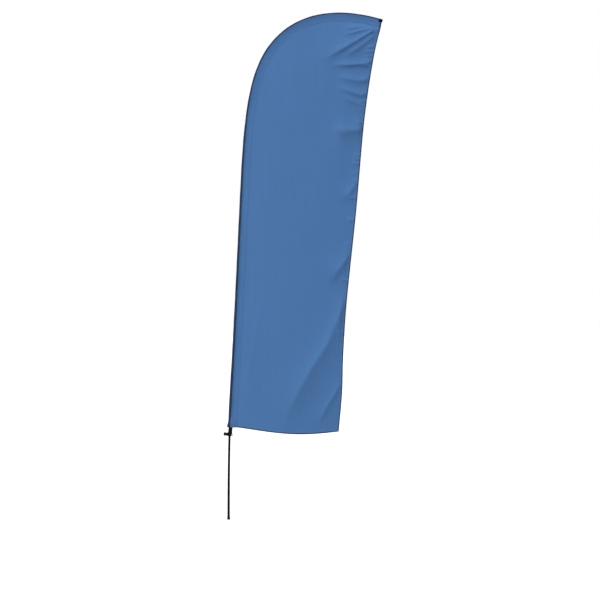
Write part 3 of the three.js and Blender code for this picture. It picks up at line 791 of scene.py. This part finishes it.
def sleeve_grid(offset):
    """The sleeve's surface with the slack cloth's gathers: short ones on the inside of
    the bend, and long shallow ones elsewhere."""
    places = sleeve_rows()
    grid = np.array([wrap(sleeve_radius(s), s, offset) for s in places])
    normals = surface_normals(grid)
    columns = np.linspace(-1.0, 1.0, grid.shape[1])
    s, c = places[:, None], columns[None, :]
    bend = smoothstep(s, BEND_FROM, BEND_FROM + 0.35)
    towards_seam = smoothstep(np.abs(c), 0.25, 0.7) * (1 - smoothstep(np.abs(c), 0.86, 0.97))
    short = np.sin(s * 245 + 3 * np.sin(s * 31) + 2.5 * c) * (0.6 + 0.4 * np.sin(s * 57))
    long = np.sin(s * 38 + 4 * c) + 0.6 * np.sin(s * 83 - 3 * c + 1.0)
    rise = SHORT_GATHERS * bend * short * towards_seam + LONG_GATHERS * long * (1 - np.abs(c) ** 4)
    return grid + normals * rise[..., None], places


def build_sleeve():
    grid, places = sleeve_grid(-SLEEVE_CLOTH / 2)
    sleeve = make("cloth_sleeve", "flag", *thick_sheet(grid, SLEEVE_CLOTH), SLEEVE_LOOK)
    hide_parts("pole_sleeve")

    tape = build_luff_tape(grid, places)
    cuff = build_cuff()
    pocket = build_tip_pocket()
    end = build_end_tape()
    seam = build_luff_stitching(places)


# The end tape's section: distance down from the sleeve's end, and distance off its cloth.
END_TAPE_SECTION = np.array([
    (6.5, -1.1), (3.0, -1.1), (0.5, -1.05), (-0.6, -0.75), (-0.9, 0.0), (-0.6, 0.75), (0.5, 1.05), (3.0, 1.1),
    (6.5, 1.1), (6.5, 0.5), (3.0, 0.5), (0.5, 0.35), (-0.2, 0.0), (0.5, -0.35), (3.0, -0.5), (6.5, -0.5),
]) * 0.001


def build_luff_tape(grid, places):
    """A navy tape sewn over the outer side of the sleeve, from the mouth to the tip. Its dark navy also
    paints the shade down that side of the sleeve.
    """
    normals = surface_normals(grid)
    middle = grid.shape[1] // 2
    outward = np.sign((normals[:, middle] * (grid[:, middle] - on_pole(0.0, 0.0, places))).sum(1).mean())
    band = slice(middle - TAPE_COLUMNS, middle + TAPE_COLUMNS + 1)
    over_cuff = 1 - smoothstep(places, MOUTH + CUFF_HEIGHT, MOUTH + CUFF_HEIGHT + OVER_CUFF_RUN)
    lift = SLEEVE_CLOTH / 2 + TAPE_CLOTH / 2 + LAYER_GAP + OVER_CUFF * over_cuff
    laid = grid[:, band] + outward * normals[:, band] * lift[:, None, None]
    tape = make("luff_tape_painted_shade", "flag", *thick_sheet(laid, TAPE_CLOTH), TAPE_AND_PAINTED_SHADE_LOOK)
    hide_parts("luff_tape")
    return tape


# The cuff's fold: distance up from the mouth, and distance off the sleeve's surface.
CUFF_SECTION = (
    (CUFF_HEIGHT, 0.00045), (0.012, 0.0005), (0.008, 0.0005), (0.004, 0.0005), (0.001, 0.0005),
    (-0.0003, 0.0002), (-0.0004, -0.0003), (0.0004, -0.00075), (0.004, -0.0008), (0.008, -0.0008),
)


def build_cuff():
    """The mouth's hem: one band of cloth folded over the sleeve's lower edge."""
    rows = [wrap(sleeve_radius(MOUTH + up), MOUTH + up, out) for up, out in CUFF_SECTION]
    cuff = make("mouth_hem", "flag", *thick_sheet(np.array(rows), CUFF_CLOTH), SLEEVE_LOOK)
    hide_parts("sleeve_cuff")
    return cuff


# The cup's closed end: share of the rim's size, and distance ahead of the sleeve's end.
POCKET_END = ((0.97, 0.0009), (0.86, 0.0017), (0.66, 0.0022), (0.4, 0.0024), (0.12, 0.0025))


def build_tip_pocket():
    """A webbing cup over the sleeve's end."""
    places = steps(SLEEVE_END - POCKET_LENGTH, SLEEVE_END + POCKET_PAST, POCKET_STEP)
    rows = [wrap(sleeve_radius(s), s, POCKET_OFFSET, until=POCKET_REACH) for s in places]
    centre = on_pole(0.0, 0.0, SLEEVE_END)
    forward = on_pole(0.0, 0.0, SLEEVE_END + 0.001) - centre
    forward /= np.linalg.norm(forward)
    rim = rows[-1]
    for shrink, ahead in POCKET_END:
        rows.append(centre + (rim - centre) * shrink + forward * ahead)
    pocket = make("tip_cup", "flag", *thick_sheet(np.array(rows), POCKET_CLOTH), WEBBING_LOOK)
    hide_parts("tip_pocket")
    return pocket


def build_end_tape():
    """A tape folded over the sleeve's far end, from the cup to the free edge. It stands
    further out towards the seam, so that its rim and the free edge make one line."""
    sides = np.linspace(POCKET_REACH - 0.001, SLEEVE_WIDTH + 0.002, 40)
    end = wrap(sleeve_radius(SLEEVE_END), SLEEVE_END, 0.0)
    half_row = end[:WALL_POINTS + 1]
    centre = on_pole(0.0, 0.0, SLEEVE_END)
    reach = np.linalg.norm((half_row - centre)[:, [0, 2]], axis=1)
    wall = np.interp(sides, reach[::-1], -half_row[::-1, 1])[:, None]
    down, off = END_TAPE_SECTION.T
    grow = np.sign(off) * np.minimum(1.0, np.abs(off) / 0.0003)
    corner_x, corner_z, _ = EDGE.at(FREE_EDGE_USED * EDGE.length)
    seam_x, _, seam_z = on_pole(SLEEVE_WIDTH, 0.0, SLEEVE_END)
    lean = float(POLE.at(SLEEVE_END)[2])
    beyond = (corner_x - seam_x) * math.sin(lean) + (corner_z - seam_z) * math.cos(lean)
    rim = -down.min()
    grown = (beyond - rim) * (sides - sides[0])[:, None] / (SLEEVE_WIDTH - sides[0])
    down = down - grown * (1.0 - np.maximum(down, 0.0) / down.max())
    rings = on_pole(sides[:, None] + 0 * down, wall * grow + off, SLEEVE_END - down)
    tape = make("end_hem_tape", "flag", *skin(rings), TAPE_AND_PAINTED_SHADE_LOOK)
    return tape


def build_luff_stitching(places):
    """Two rows on each face of the seam, and one round the mouth's hem."""
    parts = []
    for inset in SEAM_ROWS:
        for face in (-1.0, 1.0):
            path = on_pole(SLEEVE_WIDTH - inset, face * (SEAM_HALF + 0.00002), places[5:-1])
            parts.append(stitches(path, np.broadcast_to((0.0, face, 0.0), path.shape)))
    up = MOUTH + CUFF_HEIGHT - CUFF_ROW
    above = up + 0.001
    hem = wrap(sleeve_radius(up), up, CUFF_ROW_OFFSET)
    grid = np.array([hem, wrap(sleeve_radius(above), above, CUFF_ROW_OFFSET)])
    normals = surface_normals(grid)[0]
    normals *= np.sign(normals[len(hem) // 2] @ (hem[len(hem) // 2] - on_pole(0.0, 0.0, up)))
    parts.append(stitches(hem, normals, 0.0042, 0.0029, 0.00025))
    seam = make("luff_stitching", "flag", *joined(parts), BLUE_THREAD)
    return seam


# ---------------------------------------------------------------- cloth

PANEL_LOW, PANEL_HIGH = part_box("flag_panel")


def panel_place(shares):
    """Places in the panel's box, as x and z, from shares of its width and height."""
    low = np.array([PANEL_LOW.x, PANEL_LOW.z])
    size = np.array([PANEL_HIGH.x, PANEL_HIGH.z]) - low
    return low + np.array(shares) * size


def fold_rise(x, z, path, narrow, wide, steep, skew):
    """How far one fold lifts the cloth towards the front at each point."""
    best = np.full(x.shape, 1e9)
    signed = np.zeros(x.shape)
    share = np.zeros(x.shape)
    gaps = np.linalg.norm(np.diff(path, axis=0), axis=1)
    done = np.concatenate([[0.0], np.cumsum(gaps)])
    for a, b, start, gap in zip(path, path[1:], done, gaps):
        way = (b - a) / gap
        t = np.clip((x - a[0]) * way[0] + (z - a[1]) * way[1], 0.0, gap)
        off_x, off_z = x - a[0] - way[0] * t, z - a[1] - way[1] * t
        far = np.hypot(off_x, off_z)
        closer = far < best
        best = np.where(closer, far, best)
        below = way[0] * (z - a[1]) - way[1] * (x - a[0])
        signed = np.where(closer, np.where(below > 0, far, -far), signed)
        share = np.where(closer, (start + t) / done[-1], share)
    width = lerp(narrow, wide, share) * np.where(signed > 0, skew, 1.0)
    crest = np.exp(CREST_ROUNDING - np.sqrt((signed / width) ** 2 + CREST_ROUNDING ** 2))
    fade = smoothstep(share, 0.0, 0.1) * (1 - smoothstep(share, 0.55, 1.0))
    return FOLD_STRENGTH * steep * lerp(narrow, wide, share) * crest * fade


def pucker_list():
    """The short puckers at the free edge, as (path, width, steepness)."""
    rng = random.Random(7)
    made = []
    for height in EDGE_PUCKERS:
        strong = height > STRONG_PUCKERS_FROM
        x, z, _ = EDGE.at((height + 0.004) * EDGE.length * FREE_EDGE_USED)
        length = rng.uniform(0.05, 0.09) * (1.0 if strong else 0.75)
        tilt = rng.uniform(-0.2, 0.1)
        ends = np.array([[x + 0.004, z], [x - length * math.cos(tilt), z + length * math.sin(tilt)]])
        steep = rng.uniform(0.26, 0.34) if strong else rng.uniform(0.12, 0.22)
        made.append((ends, rng.uniform(0.006, 0.009), steep))
    return made


FOLD_PATHS = [through(panel_place(fold.path), 8) for fold in FOLDS]
PUCKERS = pucker_list()


def folds(x, z, from_seam, from_edge):
    """The folds, the puckers and the small gathers of the seams together."""
    rise = sum(fold_rise(x, z, path, *fold[1:]) for path, fold in zip(FOLD_PATHS, FOLDS))
    rise = rise * lerp(HELD_BY_TAPE, 1.0, smoothstep(from_edge, 0.0, 0.035))
    for ends, width, steep in PUCKERS:
        rise = rise + fold_rise(x, z, ends, width, width * 1.3, steep, 0.9)
    gathers = np.sin(z * 172 + x * 40) + 0.7 * np.sin(z * 263 - x * 90 + 1.3)
    rise = rise + 0.00035 * gathers * np.exp(-from_edge / 0.016)
    luff = np.sin(z * 141 + 190 * x) + 0.6 * np.sin(z * 97 - 230 * x)
    rise = rise + 0.0003 * luff * np.exp(-np.abs(from_seam - 0.01) / 0.012)
    slack = np.sin(9 * x + 5 * z) * np.sin(7 * z - 11 * x + 1.0) + 0.5 * np.sin(23 * x - 9 * z)
    rise = rise + 0.0006 * slack
    return rise * smoothstep(from_seam, 0.0, 0.05)


def billow(height, across):
    inside = np.clip(across, 0.0, 1.0)
    belly = -BELLY * np.sin(math.pi * inside) * np.sin(math.pi * (0.1 + 0.8 * height))
    return belly + CORNER_CURL * inside ** 2 * (1 - height) ** 4


def cloth_grid(height, across, foot, edge, inside=0.0):
    """Points of the cloth. height and across are shares; foot and edge are how far the
    cloth's borders are drawn in. inside moves the points in from the free edge."""
    height, across = np.broadcast_arrays(height, across)
    seam_x, _, seam_z = np.moveaxis(
        on_pole(SLEEVE_WIDTH + GAP, 0.0, lerp(MOUTH + foot, SLEEVE_END, height)), -1, 0)
    share = (foot / EDGE.length) * (1 - height) + height
    edge_x, edge_z, lean = EDGE.at(share * FREE_EDGE_USED * EDGE.length)
    edge_x = edge_x - (edge + inside) * np.cos(lean)
    edge_z = edge_z + (edge + inside) * np.sin(lean)
    x, z = lerp(seam_x, edge_x, across), lerp(seam_z, edge_z, across)
    bow = np.sin(math.pi * np.clip(across, 0.0, 1.0) ** FOOT_SKEW)
    z = z - FOOT_DROP * bow * np.clip(1 - height / FOOT_FADE, 0.0, 1.0) ** 2
    width = np.hypot(edge_x - seam_x, edge_z - seam_z)
    from_seam, from_edge = across * width, np.clip(1 - across, 0.0, 1.0) * width + inside
    back = billow(height, across) - folds(x, z, from_seam, from_edge)
    return np.stack([x, back, z], -1)


def build_panel():
    inset = BINDING_WIDTH - BINDING_LAP
    height = np.linspace(0.0, 1.0, PANEL_ROWS)[:, None]
    even = np.linspace(0.0, 1.0, PANEL_COLUMNS)[None, :]
    across = 0.45 * even + 0.55 * (1 - (1 - even) ** 2)
    main = cloth_grid(height, across, inset, inset)
    tucked = on_pole(SLEEVE_WIDTH - 0.005, 0.0, lerp(MOUTH + inset, SLEEVE_END, height[:, 0]))
    grid = np.concatenate([tucked[:, None], main], 1)
    panel = make("cloth_panel", "flag", *thick_sheet(grid, CLOTH), CLOTH_LOOK)
    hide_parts("flag_panel")

    edge, foot = build_edge_binding(), build_foot_binding()
    hems = build_hem_stitching()


# The folded tape's section: distance in from the rim, and distance off the cloth.
TAPE_SECTION = np.array([
    (6.0, -0.8), (4.0, -0.85), (2.0, -0.85), (0.8, -0.8), (0.24, -0.57), (0.0, 0.0), (0.24, 0.57), (0.8, 0.8),
    (2.0, 0.85), (4.0, 0.85), (6.0, 0.8), (6.0, 0.32), (3.0, 0.32), (1.1, 0.3), (0.7, 0.0), (1.1, -0.3),
    (3.0, -0.32), (6.0, -0.32),
]) * 0.001


def build_edge_binding():
    height = np.linspace(0.0, 1.0, PANEL_ROWS)[:, None]
    inside = TAPE_SECTION[None, :, 0]
    rings = cloth_grid(height, np.ones_like(inside), 0.0, 0.0, inside)
    rings[..., 1] += TAPE_SECTION[None, :, 1]
    tape = make("edge_hem_tape", "flag", *skin(rings), TAPE_AND_PAINTED_SHADE_LOOK)
    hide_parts("edge_binding")
    return tape


def build_foot_binding():
    across = np.linspace(0.0, 1.0, 121)
    low = cloth_grid(0.0, across, 0.0, BINDING_WIDTH + GAP)
    rings = np.repeat(low[:, None], len(TAPE_SECTION), 1)
    rings[..., 2] += TAPE_SECTION[None, :, 0]
    rings[..., 1] += TAPE_SECTION[None, :, 1]
    tape = make("foot_hem_tape", "flag", *skin(rings), TAPE_AND_PAINTED_SHADE_LOOK)
    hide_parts("foot_binding")
    return tape


def build_hem_stitching():
    """One row near the inner side of each tape, on both faces."""
    parts = []
    inset = BINDING_WIDTH - BINDING_ROW
    height = np.linspace(0.004, 0.99, 400)
    edge = cloth_grid(height, np.ones_like(height), 0.0, 0.0, inset)
    across = np.linspace(0.01, 0.99, 120)
    foot = cloth_grid(0.0, across, 0.0, BINDING_WIDTH + GAP) + (0.0, 0.0, inset)
    for path in (edge, foot):
        for face in (-1.0, 1.0):
            raised = path + (0.0, face * BINDING_ROW_OFFSET, 0.0)
            parts.append(stitches(raised, np.broadcast_to((0.0, face, 0.0), raised.shape)))
    hems = make("hem_stitching", "flag", *joined(parts), NAVY_THREAD)
    return hems


# ---------------------------------------------------------------- fitting below the sleeve

ORIGIN = on_pole(0.0, 0.0, COLLAR_AT)
LEAN = float(POLE.at(COLLAR_AT)[2])
SIDE = np.array([math.cos(LEAN), 0.0, -math.sin(LEAN)])
UP = np.array([math.sin(LEAN), 0.0, math.cos(LEAN)])


def at_collar(x, y, z):
    """Points given about the collar's middle: towards the cloth, the back and the tip."""
    x, y, z = np.broadcast_arrays(*(np.asarray(v, float) for v in (x, y, z)))
    return ORIGIN + x[..., None] * SIDE + y[..., None] * np.array([0.0, 1.0, 0.0]) + z[..., None] * UP


def outward_at_collar(x, y, height):
    """Lays a turned body along the screw's line, which runs away from the cloth."""
    return at_collar(-height, x, y)


def plain(x, y, z):
    return np.stack([x, y, z], -1)


def plain_sideways(x, y, height):
    return np.stack([-height, x, y], -1)


def block(low, high):
    corners = [(x, y, z) for x in (low[0], high[0]) for y in (low[1], high[1]) for z in (low[2], high[2])]
    faces = [(0, 1, 3, 2), (4, 6, 7, 5), (0, 4, 5, 1), (2, 3, 7, 6), (0, 2, 6, 4), (1, 5, 7, 3)]
    return np.array(corners), faces


def carved(base, operations):
    """A body with others joined to it or cut from it, one after another."""
    made = make("shape", None, *base)
    for kind, other in operations:
        tool = make("tool", None, *other)
        cut = made.modifiers.new("cut", "BOOLEAN")
        cut.operation, cut.object, cut.solver = kind, tool, "EXACT"
        mesh = settled(made)
        made.modifiers.clear()
        made.data = mesh
        bpy.data.objects.remove(tool)
    return made


def settled(piece):
    """The piece's mesh with its modifiers applied."""
    graph = bpy.context.evaluated_depsgraph_get()
    return bpy.data.meshes.new_from_object(piece.evaluated_get(graph), depsgraph=graph)


def set_at_collar(mesh):
    """Moves a mesh that was made about the origin to the collar."""
    co = np.zeros(len(mesh.vertices) * 3)
    mesh.vertices.foreach_get("co", co)
    mesh.vertices.foreach_set("co", at_collar(*co.reshape(-1, 3).T).ravel())
    mesh.materials.clear()


def moulded(name, body, shape, cell, rounds, look):
    """A carved body made over as one fine skin with rounded edges, set at the collar."""
    remesh = shape.modifiers.new("skin", "REMESH")
    remesh.mode, remesh.voxel_size, remesh.adaptivity = "VOXEL", cell, 0.0
    ease = shape.modifiers.new("ease", "SMOOTH")
    ease.factor, ease.iterations = 0.5, rounds
    mesh = settled(shape)
    bpy.data.objects.remove(shape)
    set_at_collar(mesh)
    return finish_mesh(name, body, mesh, look, 60.0)


def build_collar():
    half, rim, fine = COLLAR_HEIGHT / 2, COLLAR_RADIUS, 96
    straight = half - COLLAR_CHAMFER
    barrel = [(0.0, -half), (rim - COLLAR_CHAMFER, -half), (rim, -straight), (rim, straight),
              (rim - COLLAR_CHAMFER, half), (0.0, half)]
    inset = 0.0002  # keeps the boss's faces off the barrel's, which the joins need
    boss = block((-BOSS_END, -BOSS_HALF_WIDTH, inset - half), (0.0, BOSS_HALF_WIDTH, half - inset))
    nose = [(0.0, 0.0), (rim - inset, 0.0), (BOSS_HALF_WIDTH, BOSS_END), (0.0, BOSS_END)]
    shape = carved(boss, [("INTERSECT", turned(nose, fine, plain_sideways))])
    arm = (np.array([v.co for v in shape.data.vertices]), [tuple(p.vertices) for p in shape.data.polygons])
    bpy.data.objects.remove(shape)
    bore = cylinder(LINER_OUTER + GAP, -CUT_REACH, CUT_REACH)
    pocket = cylinder(PAD_RADIUS + PAD_ROOM, 0.0, PAD_TO + PAD_TRAVEL + GAP)
    hole = cylinder(STUD_RADIUS + GAP, *SCREW_HOLE)
    slot = block((-(NUT_TO + GAP), -(NUT_HALF + GAP), -(NUT_HALF + GAP)),
                 (-(NUT_FROM - GAP), NUT_HALF + GAP, CUT_REACH))
    shape = carved(turned(barrel, fine, plain), [
        ("UNION", arm),
        ("UNION", hook()),
        ("DIFFERENCE", turned(bore, fine, plain)),
        ("DIFFERENCE", slot),
        ("DIFFERENCE", turned(pocket, fine, plain_sideways)),
        ("DIFFERENCE", turned(hole, fine, plain_sideways)),
    ])
    collar = moulded("collar_body", "collar", shape, COLLAR_CELL, 5, NYLON_LOOK)
    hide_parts("clamp_collar")


def hook():
    """A lug that turns down in front of the ring's lower bar."""
    outline = [
        (HOOK_ROOT, HOOK_TOP),
        (HOOK_FRONT + HOOK_BEVEL[0], HOOK_TOP),
        (HOOK_FRONT, HOOK_TOP - HOOK_BEVEL[1]),
        (HOOK_FRONT, HOOK_TIP),
        (HOOK_NOTCH_FRONT, HOOK_TIP),
        (HOOK_NOTCH_FRONT, HOOK_NOTCH_TOP),
        (HOOK_ROOT, HOOK_NOTCH_TOP),
    ]
    sides = (RING_MIDDLE - HOOK_WIDTH / 2, RING_MIDDLE + HOOK_WIDTH / 2)
    return skin(np.array([[(x, y, z) for y, z in outline] for x in sides]))


def build_liner():
    """A split rubber ring, open where the pressure pad comes through."""
    half, open_angle = COLLAR_HEIGHT / 2 - 0.0005, math.radians(42)
    corners = [(LINER_INNER, -half), (LINER_OUTER, -half), (LINER_OUTER, half), (LINER_INNER, half)]
    section = softened([*corners, corners[0]], 0.0003)
    rings = [[(r * math.cos(a), r * math.sin(a), z) for r, z in section]
             for a in np.linspace(open_angle - math.pi, math.pi - open_angle, 64)]
    points, faces = skin(np.array(rings))
    liner = make("rubber_liner", "collar", at_collar(*points.T), faces, RUBBER_LOOK)
    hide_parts("collar_liner")


def build_nut():
    hole = cylinder(STUD_RADIUS + NUT_ROOM, *SCREW_HOLE)
    shape = carved(block((-NUT_TO, -NUT_HALF, -NUT_HALF), (-NUT_FROM, NUT_HALF, NUT_HALF)),
                   [("DIFFERENCE", turned(hole, 48, plain_sideways))])
    bevel = shape.modifiers.new("bevel", "BEVEL")
    bevel.width, bevel.segments, bevel.limit_method = NUT_BEVEL, 3, "ANGLE"
    bevel.angle_limit = math.radians(40)
    mesh = settled(shape)
    bpy.data.objects.remove(shape)
    set_at_collar(mesh)
    nut = finish_mesh("square_nut", "collar", mesh, ZINC_LOOK, 30.0)
    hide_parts("clamp_nut")


def build_stud():
    """The clamp screw, with a real thread that runs out at its point."""
    sides, count = 32, 220
    places = np.linspace(STUD_FROM, STUD_TO, count)
    angles = np.linspace(0.0, 2 * math.pi, sides, endpoint=False)
    turn = (places[:, None] / THREAD_PITCH - angles[None, :] / (2 * math.pi)) % 1.0
    full = smoothstep(places, STUD_FROM, STUD_FROM + THREAD_RUN_OUT)[:, None]
    depth = THREAD_DEPTH * np.abs(2 * turn - 1) * full
    point = POINT_DEPTH * (1 - smoothstep(places, STUD_FROM, STUD_FROM + POINT_LENGTH))[:, None]
    radius = STUD_RADIUS - depth - point
    rings = at_collar(-places[:, None] + 0 * radius, radius * np.cos(angles), radius * np.sin(angles))
    stud = make("clamp_screw", "thumb_screw", *skin(rings), ZINC_LOOK, 50.0)
    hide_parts("screw_stud")


def build_pad():
    profile = softened(cylinder(PAD_RADIUS, PAD_FROM, PAD_TO), PAD_ROUNDING)
    pad = make("clamp_pad", "pad", *turned(profile, 40, outward_at_collar), NYLON_LOOK)
    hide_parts("pressure_pad")


def build_knob():
    """A lobed grip with a rounded rim, a domed end, a hub and a blind hole for the screw."""
    angles = np.linspace(0.0, 2 * math.pi, 144, endpoint=False)
    lobes = 0.94 + 0.06 * np.cos(KNOB_LOBES * angles)
    outline = [(0.8, 0.0), (0.87, 0.012), (0.95, 0.055), (0.99, 0.12), (1.0, 0.2), (1.0, 0.7), (0.985, 0.79),
               (0.94, 0.87), (0.86, 0.93), (0.74, 0.965), (0.5, 0.99), (0.25, 1.0), (0.03, 1.0)]
    hole, hub_end = STUD_RADIUS + GAP, KNOB_FROM - HUB
    rows = [(0.0001, STUD_TO + GAP), (hole - 0.0006, STUD_TO + GAP), (hole, STUD_TO), (hole, KNOB_FROM),
            (hole + 0.0006, hub_end), (HUB_RADIUS - 0.0004, hub_end), (HUB_RADIUS, hub_end + 0.0003),
            (HUB_RADIUS, KNOB_FROM - 0.0001)]
    for scale, share in outline:
        round_off = lerp(1.0, 0.97, smoothstep(scale, 0.9, 0.4))
        radius = KNOB_RADIUS * scale * lerp(round_off, lobes, smoothstep(scale, 0.3, 0.85))
        rows.append((radius, KNOB_FROM + KNOB_LENGTH * share))
    rings = [np.stack([np.full(angles.shape, depth), radius * np.cos(angles), radius * np.sin(angles)], -1)
             for radius, depth in rows]
    points, faces = skin(np.array(rings))
    knob = make("grip_knob", "thumb_screw", at_collar(-points[:, 0], points[:, 1], points[:, 2]), faces,
                NYLON_LOOK)
    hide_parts("thumb_knob")


def build_ring():
    """A rectangle of wire with round corners that the strap hangs on the hook."""
    corners = ((1, 1, RING_TOP, 0), (-1, 1, RING_TOP, 90),
               (-1, -1, RING_BOTTOM, 180), (1, -1, RING_BOTTOM, 270))
    rounds = np.linspace(0.0, 2 * math.pi, 20, endpoint=False)
    rings = []
    for sx, sz, z, start in corners:
        x = RING_MIDDLE + sx * (RING_HALF_WIDTH - RING_CORNER)
        centre = np.array([x, RING_DEPTH, z - sz * RING_CORNER])
        for angle in np.radians(np.linspace(start, start + 90, 12)):
            out = np.array([math.cos(angle), 0.0, math.sin(angle)])
            rings.append([centre + out * (RING_CORNER + RING_WIRE * math.cos(r))
                          + (0.0, RING_WIRE * math.sin(r), 0.0) for r in rounds])
    points, faces = hoop(np.array(rings))
    ring = make("wire_ring", "collar", at_collar(*points.T), faces, WIRE_LOOK)
    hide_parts("strap_ring")


# ---------------------------------------------------------------- tension strap


def on_strap(across, out, up):
    """across runs over the strap's width and out towards the front; the strap is flat at
    the ring and curves to the round mouth above it."""
    seat = sleeve_radius(COLLAR_AT + STRAP_TOP) - SLEEVE_WALL - STRAP_THICKNESS / 2 - STRAP_ROOM
    radius = seat + out
    touch = np.arccos(radius / (SLEEVE_WIDTH - SEAM_ALLOWANCE))
    run = across + STRAP_OFFSET
    turn = touch + np.maximum(0.0, -run) / radius
    ahead = np.maximum(0.0, run)
    seated_x = radius * np.cos(turn) + ahead * np.sin(touch)
    seated_y = -radius * np.sin(turn) + ahead * np.cos(touch)
    blend = smoothstep(up, STRAP_STRAIGHT_TOP, MOUTH - COLLAR_AT)
    x = lerp(RING_MIDDLE + across, seated_x, blend)
    y = lerp(RING_DEPTH - STRAP_THICKNESS / 2 - out, seated_y, blend)
    return at_collar(x, y, up)


def strap_line():
    """The strap's middle line from its sewn top, round the ring and back up: out and up."""
    eye_out, turn_radius = -STRAP_THICKNESS / 2, RING_WIRE + GAP + STRAP_THICKNESS / 2
    joint = RING_TOP + STRAP_EYE
    down = [(0.0, up) for up in steps(STRAP_TOP, joint, STRAP_STEP)]
    angles = np.radians(np.linspace(22.0, -202.0, 30))
    loop = [(eye_out + turn_radius * math.cos(a), RING_TOP + turn_radius * math.sin(a)) for a in angles]
    back = [(-STRAP_THICKNESS, up) for up in steps(joint, STRAP_FOLD_TOP, STRAP_STEP)]
    return np.array(down + loop + back)


def build_strap():
    line = strap_line()
    way = np.gradient(line, axis=0)
    way /= np.linalg.norm(way, axis=1, keepdims=True)
    normal = np.stack([-way[:, 1], way[:, 0]], -1)
    shares = np.sin(np.linspace(-math.pi / 2, math.pi / 2, 22))
    across = shares * STRAP_WIDTH / 2
    half = (STRAP_THICKNESS / 2 - 0.00007) * (1 - 0.82 * np.abs(shares) ** 10)
    section = np.concatenate([np.stack([across, half], -1), np.stack([across, -half], -1)[::-1]])
    rings = []
    for (out, up), (n_out, n_up) in zip(line, normal):
        rings.append(on_strap(section[:, 0], out + n_out * section[:, 1], up + n_up * section[:, 1]))
    strap = make("webbing_strap", None, *skin(np.array(rings)), WEBBING_LOOK)
    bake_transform(strap)
    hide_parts("tension_strap")

    sewn = build_strap_stitching()
    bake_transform(sewn)


def build_strap_stitching():
    """A boxed cross through both layers of the folded strap, seen from the front."""
    side = STRAP_WIDTH / 2 - 0.0022
    low, high = STRAP_STRAIGHT_TOP + 0.0005, STRAP_FOLD_TOP - 0.0012
    corners = [(-side, low), (side, low), (side, high), (-side, high)]
    runs = [(corners[i], corners[(i + 1) % 4]) for i in range(4)]
    runs += [(corners[0], corners[2]), (corners[1], corners[3])]
    parts = []
    for start, end in runs:
        share = np.linspace(0.0, 1.0, 16)
        across, up = lerp(start[0], end[0], share), lerp(start[1], end[1], share)
        face = on_strap(across, np.full(16, STRAP_THICKNESS / 2), up)
        out = face - on_strap(across, np.zeros(16), up)
        parts.append(stitches(face, out, 0.0026, 0.0019, 0.0002))
    return make("strap_stitching", None, *joined(parts), BLACK_THREAD)


# ---------------------------------------------------------------- stage, light and camera


def build_stage():
    look = Look("pale_floor", Roughness=0.9, Emission_Strength=0.9)
    look.shader.inputs["Emission Color"].default_value = (1.0, 1.0, 1.0, 1.0)
    look.colour(look.noise(0.8, 2.0), (0.27, 0.27, 0.27), (0.29, 0.29, 0.29))
    reach = 60.0
    points = [(-reach, -reach, 0.0), (reach, -reach, 0.0), (reach, reach, 0.0), (-reach, reach, 0.0)]
    mesh = bpy.data.meshes.new("floor")
    mesh.from_pydata(points, [], [(0, 1, 2, 3)])
    mesh.materials.append(look.material)
    floor = linked("floor", mesh)
    floor.visible_diffuse = False
    floor.visible_glossy = False

    world = bpy.data.worlds.new("studio")
    bpy.context.scene.world = world
    world.use_nodes = True
    world.node_tree.nodes["Background"].inputs["Color"].default_value = (1.0, 1.0, 1.0, 1.0)
    world.cycles_visibility.diffuse = False
    world.cycles_visibility.glossy = False


def soft_light(name, towards, strength, spread):
    """A wide, even light. towards is the way its light travels."""
    lamp = bpy.data.lights.new(name, "SUN")
    lamp.energy = strength
    lamp.angle = math.radians(spread)
    light = linked(name, lamp)
    light.rotation_mode = "QUATERNION"
    light.rotation_quaternion = Vector(towards).to_track_quat("-Z", "Y")


def build_camera():
    camera_data = bpy.data.cameras.new("camera")
    camera = linked("camera", camera_data)
    distance, height, middle, seen = 12.0, 1.212, 0.394, 3.312
    camera.location = (middle, -distance, height)
    camera.rotation_euler = (math.pi / 2, 0.0, 0.0)
    camera_data.lens = camera_data.sensor_width * distance / seen
    camera_data.clip_end = 200.0
    bpy.context.scene.camera = camera
    bpy.context.scene.view_settings.view_transform = "Standard"


build_camera()
build_stage()
soft_light("key", (0.38, 0.72, -0.6), 2.75, 36.0)
soft_light("fill", (-0.35, 0.9, -0.1), 0.62, 90.0)
soft_light("back_key", (-0.38, -0.72, -0.6), 2.9, 40.0)
build_pole()
build_pole_fittings()
build_sleeve()
build_panel()
build_collar()
build_liner()
build_nut()
build_stud()
build_pad()
build_knob()
build_ring()
build_strap()
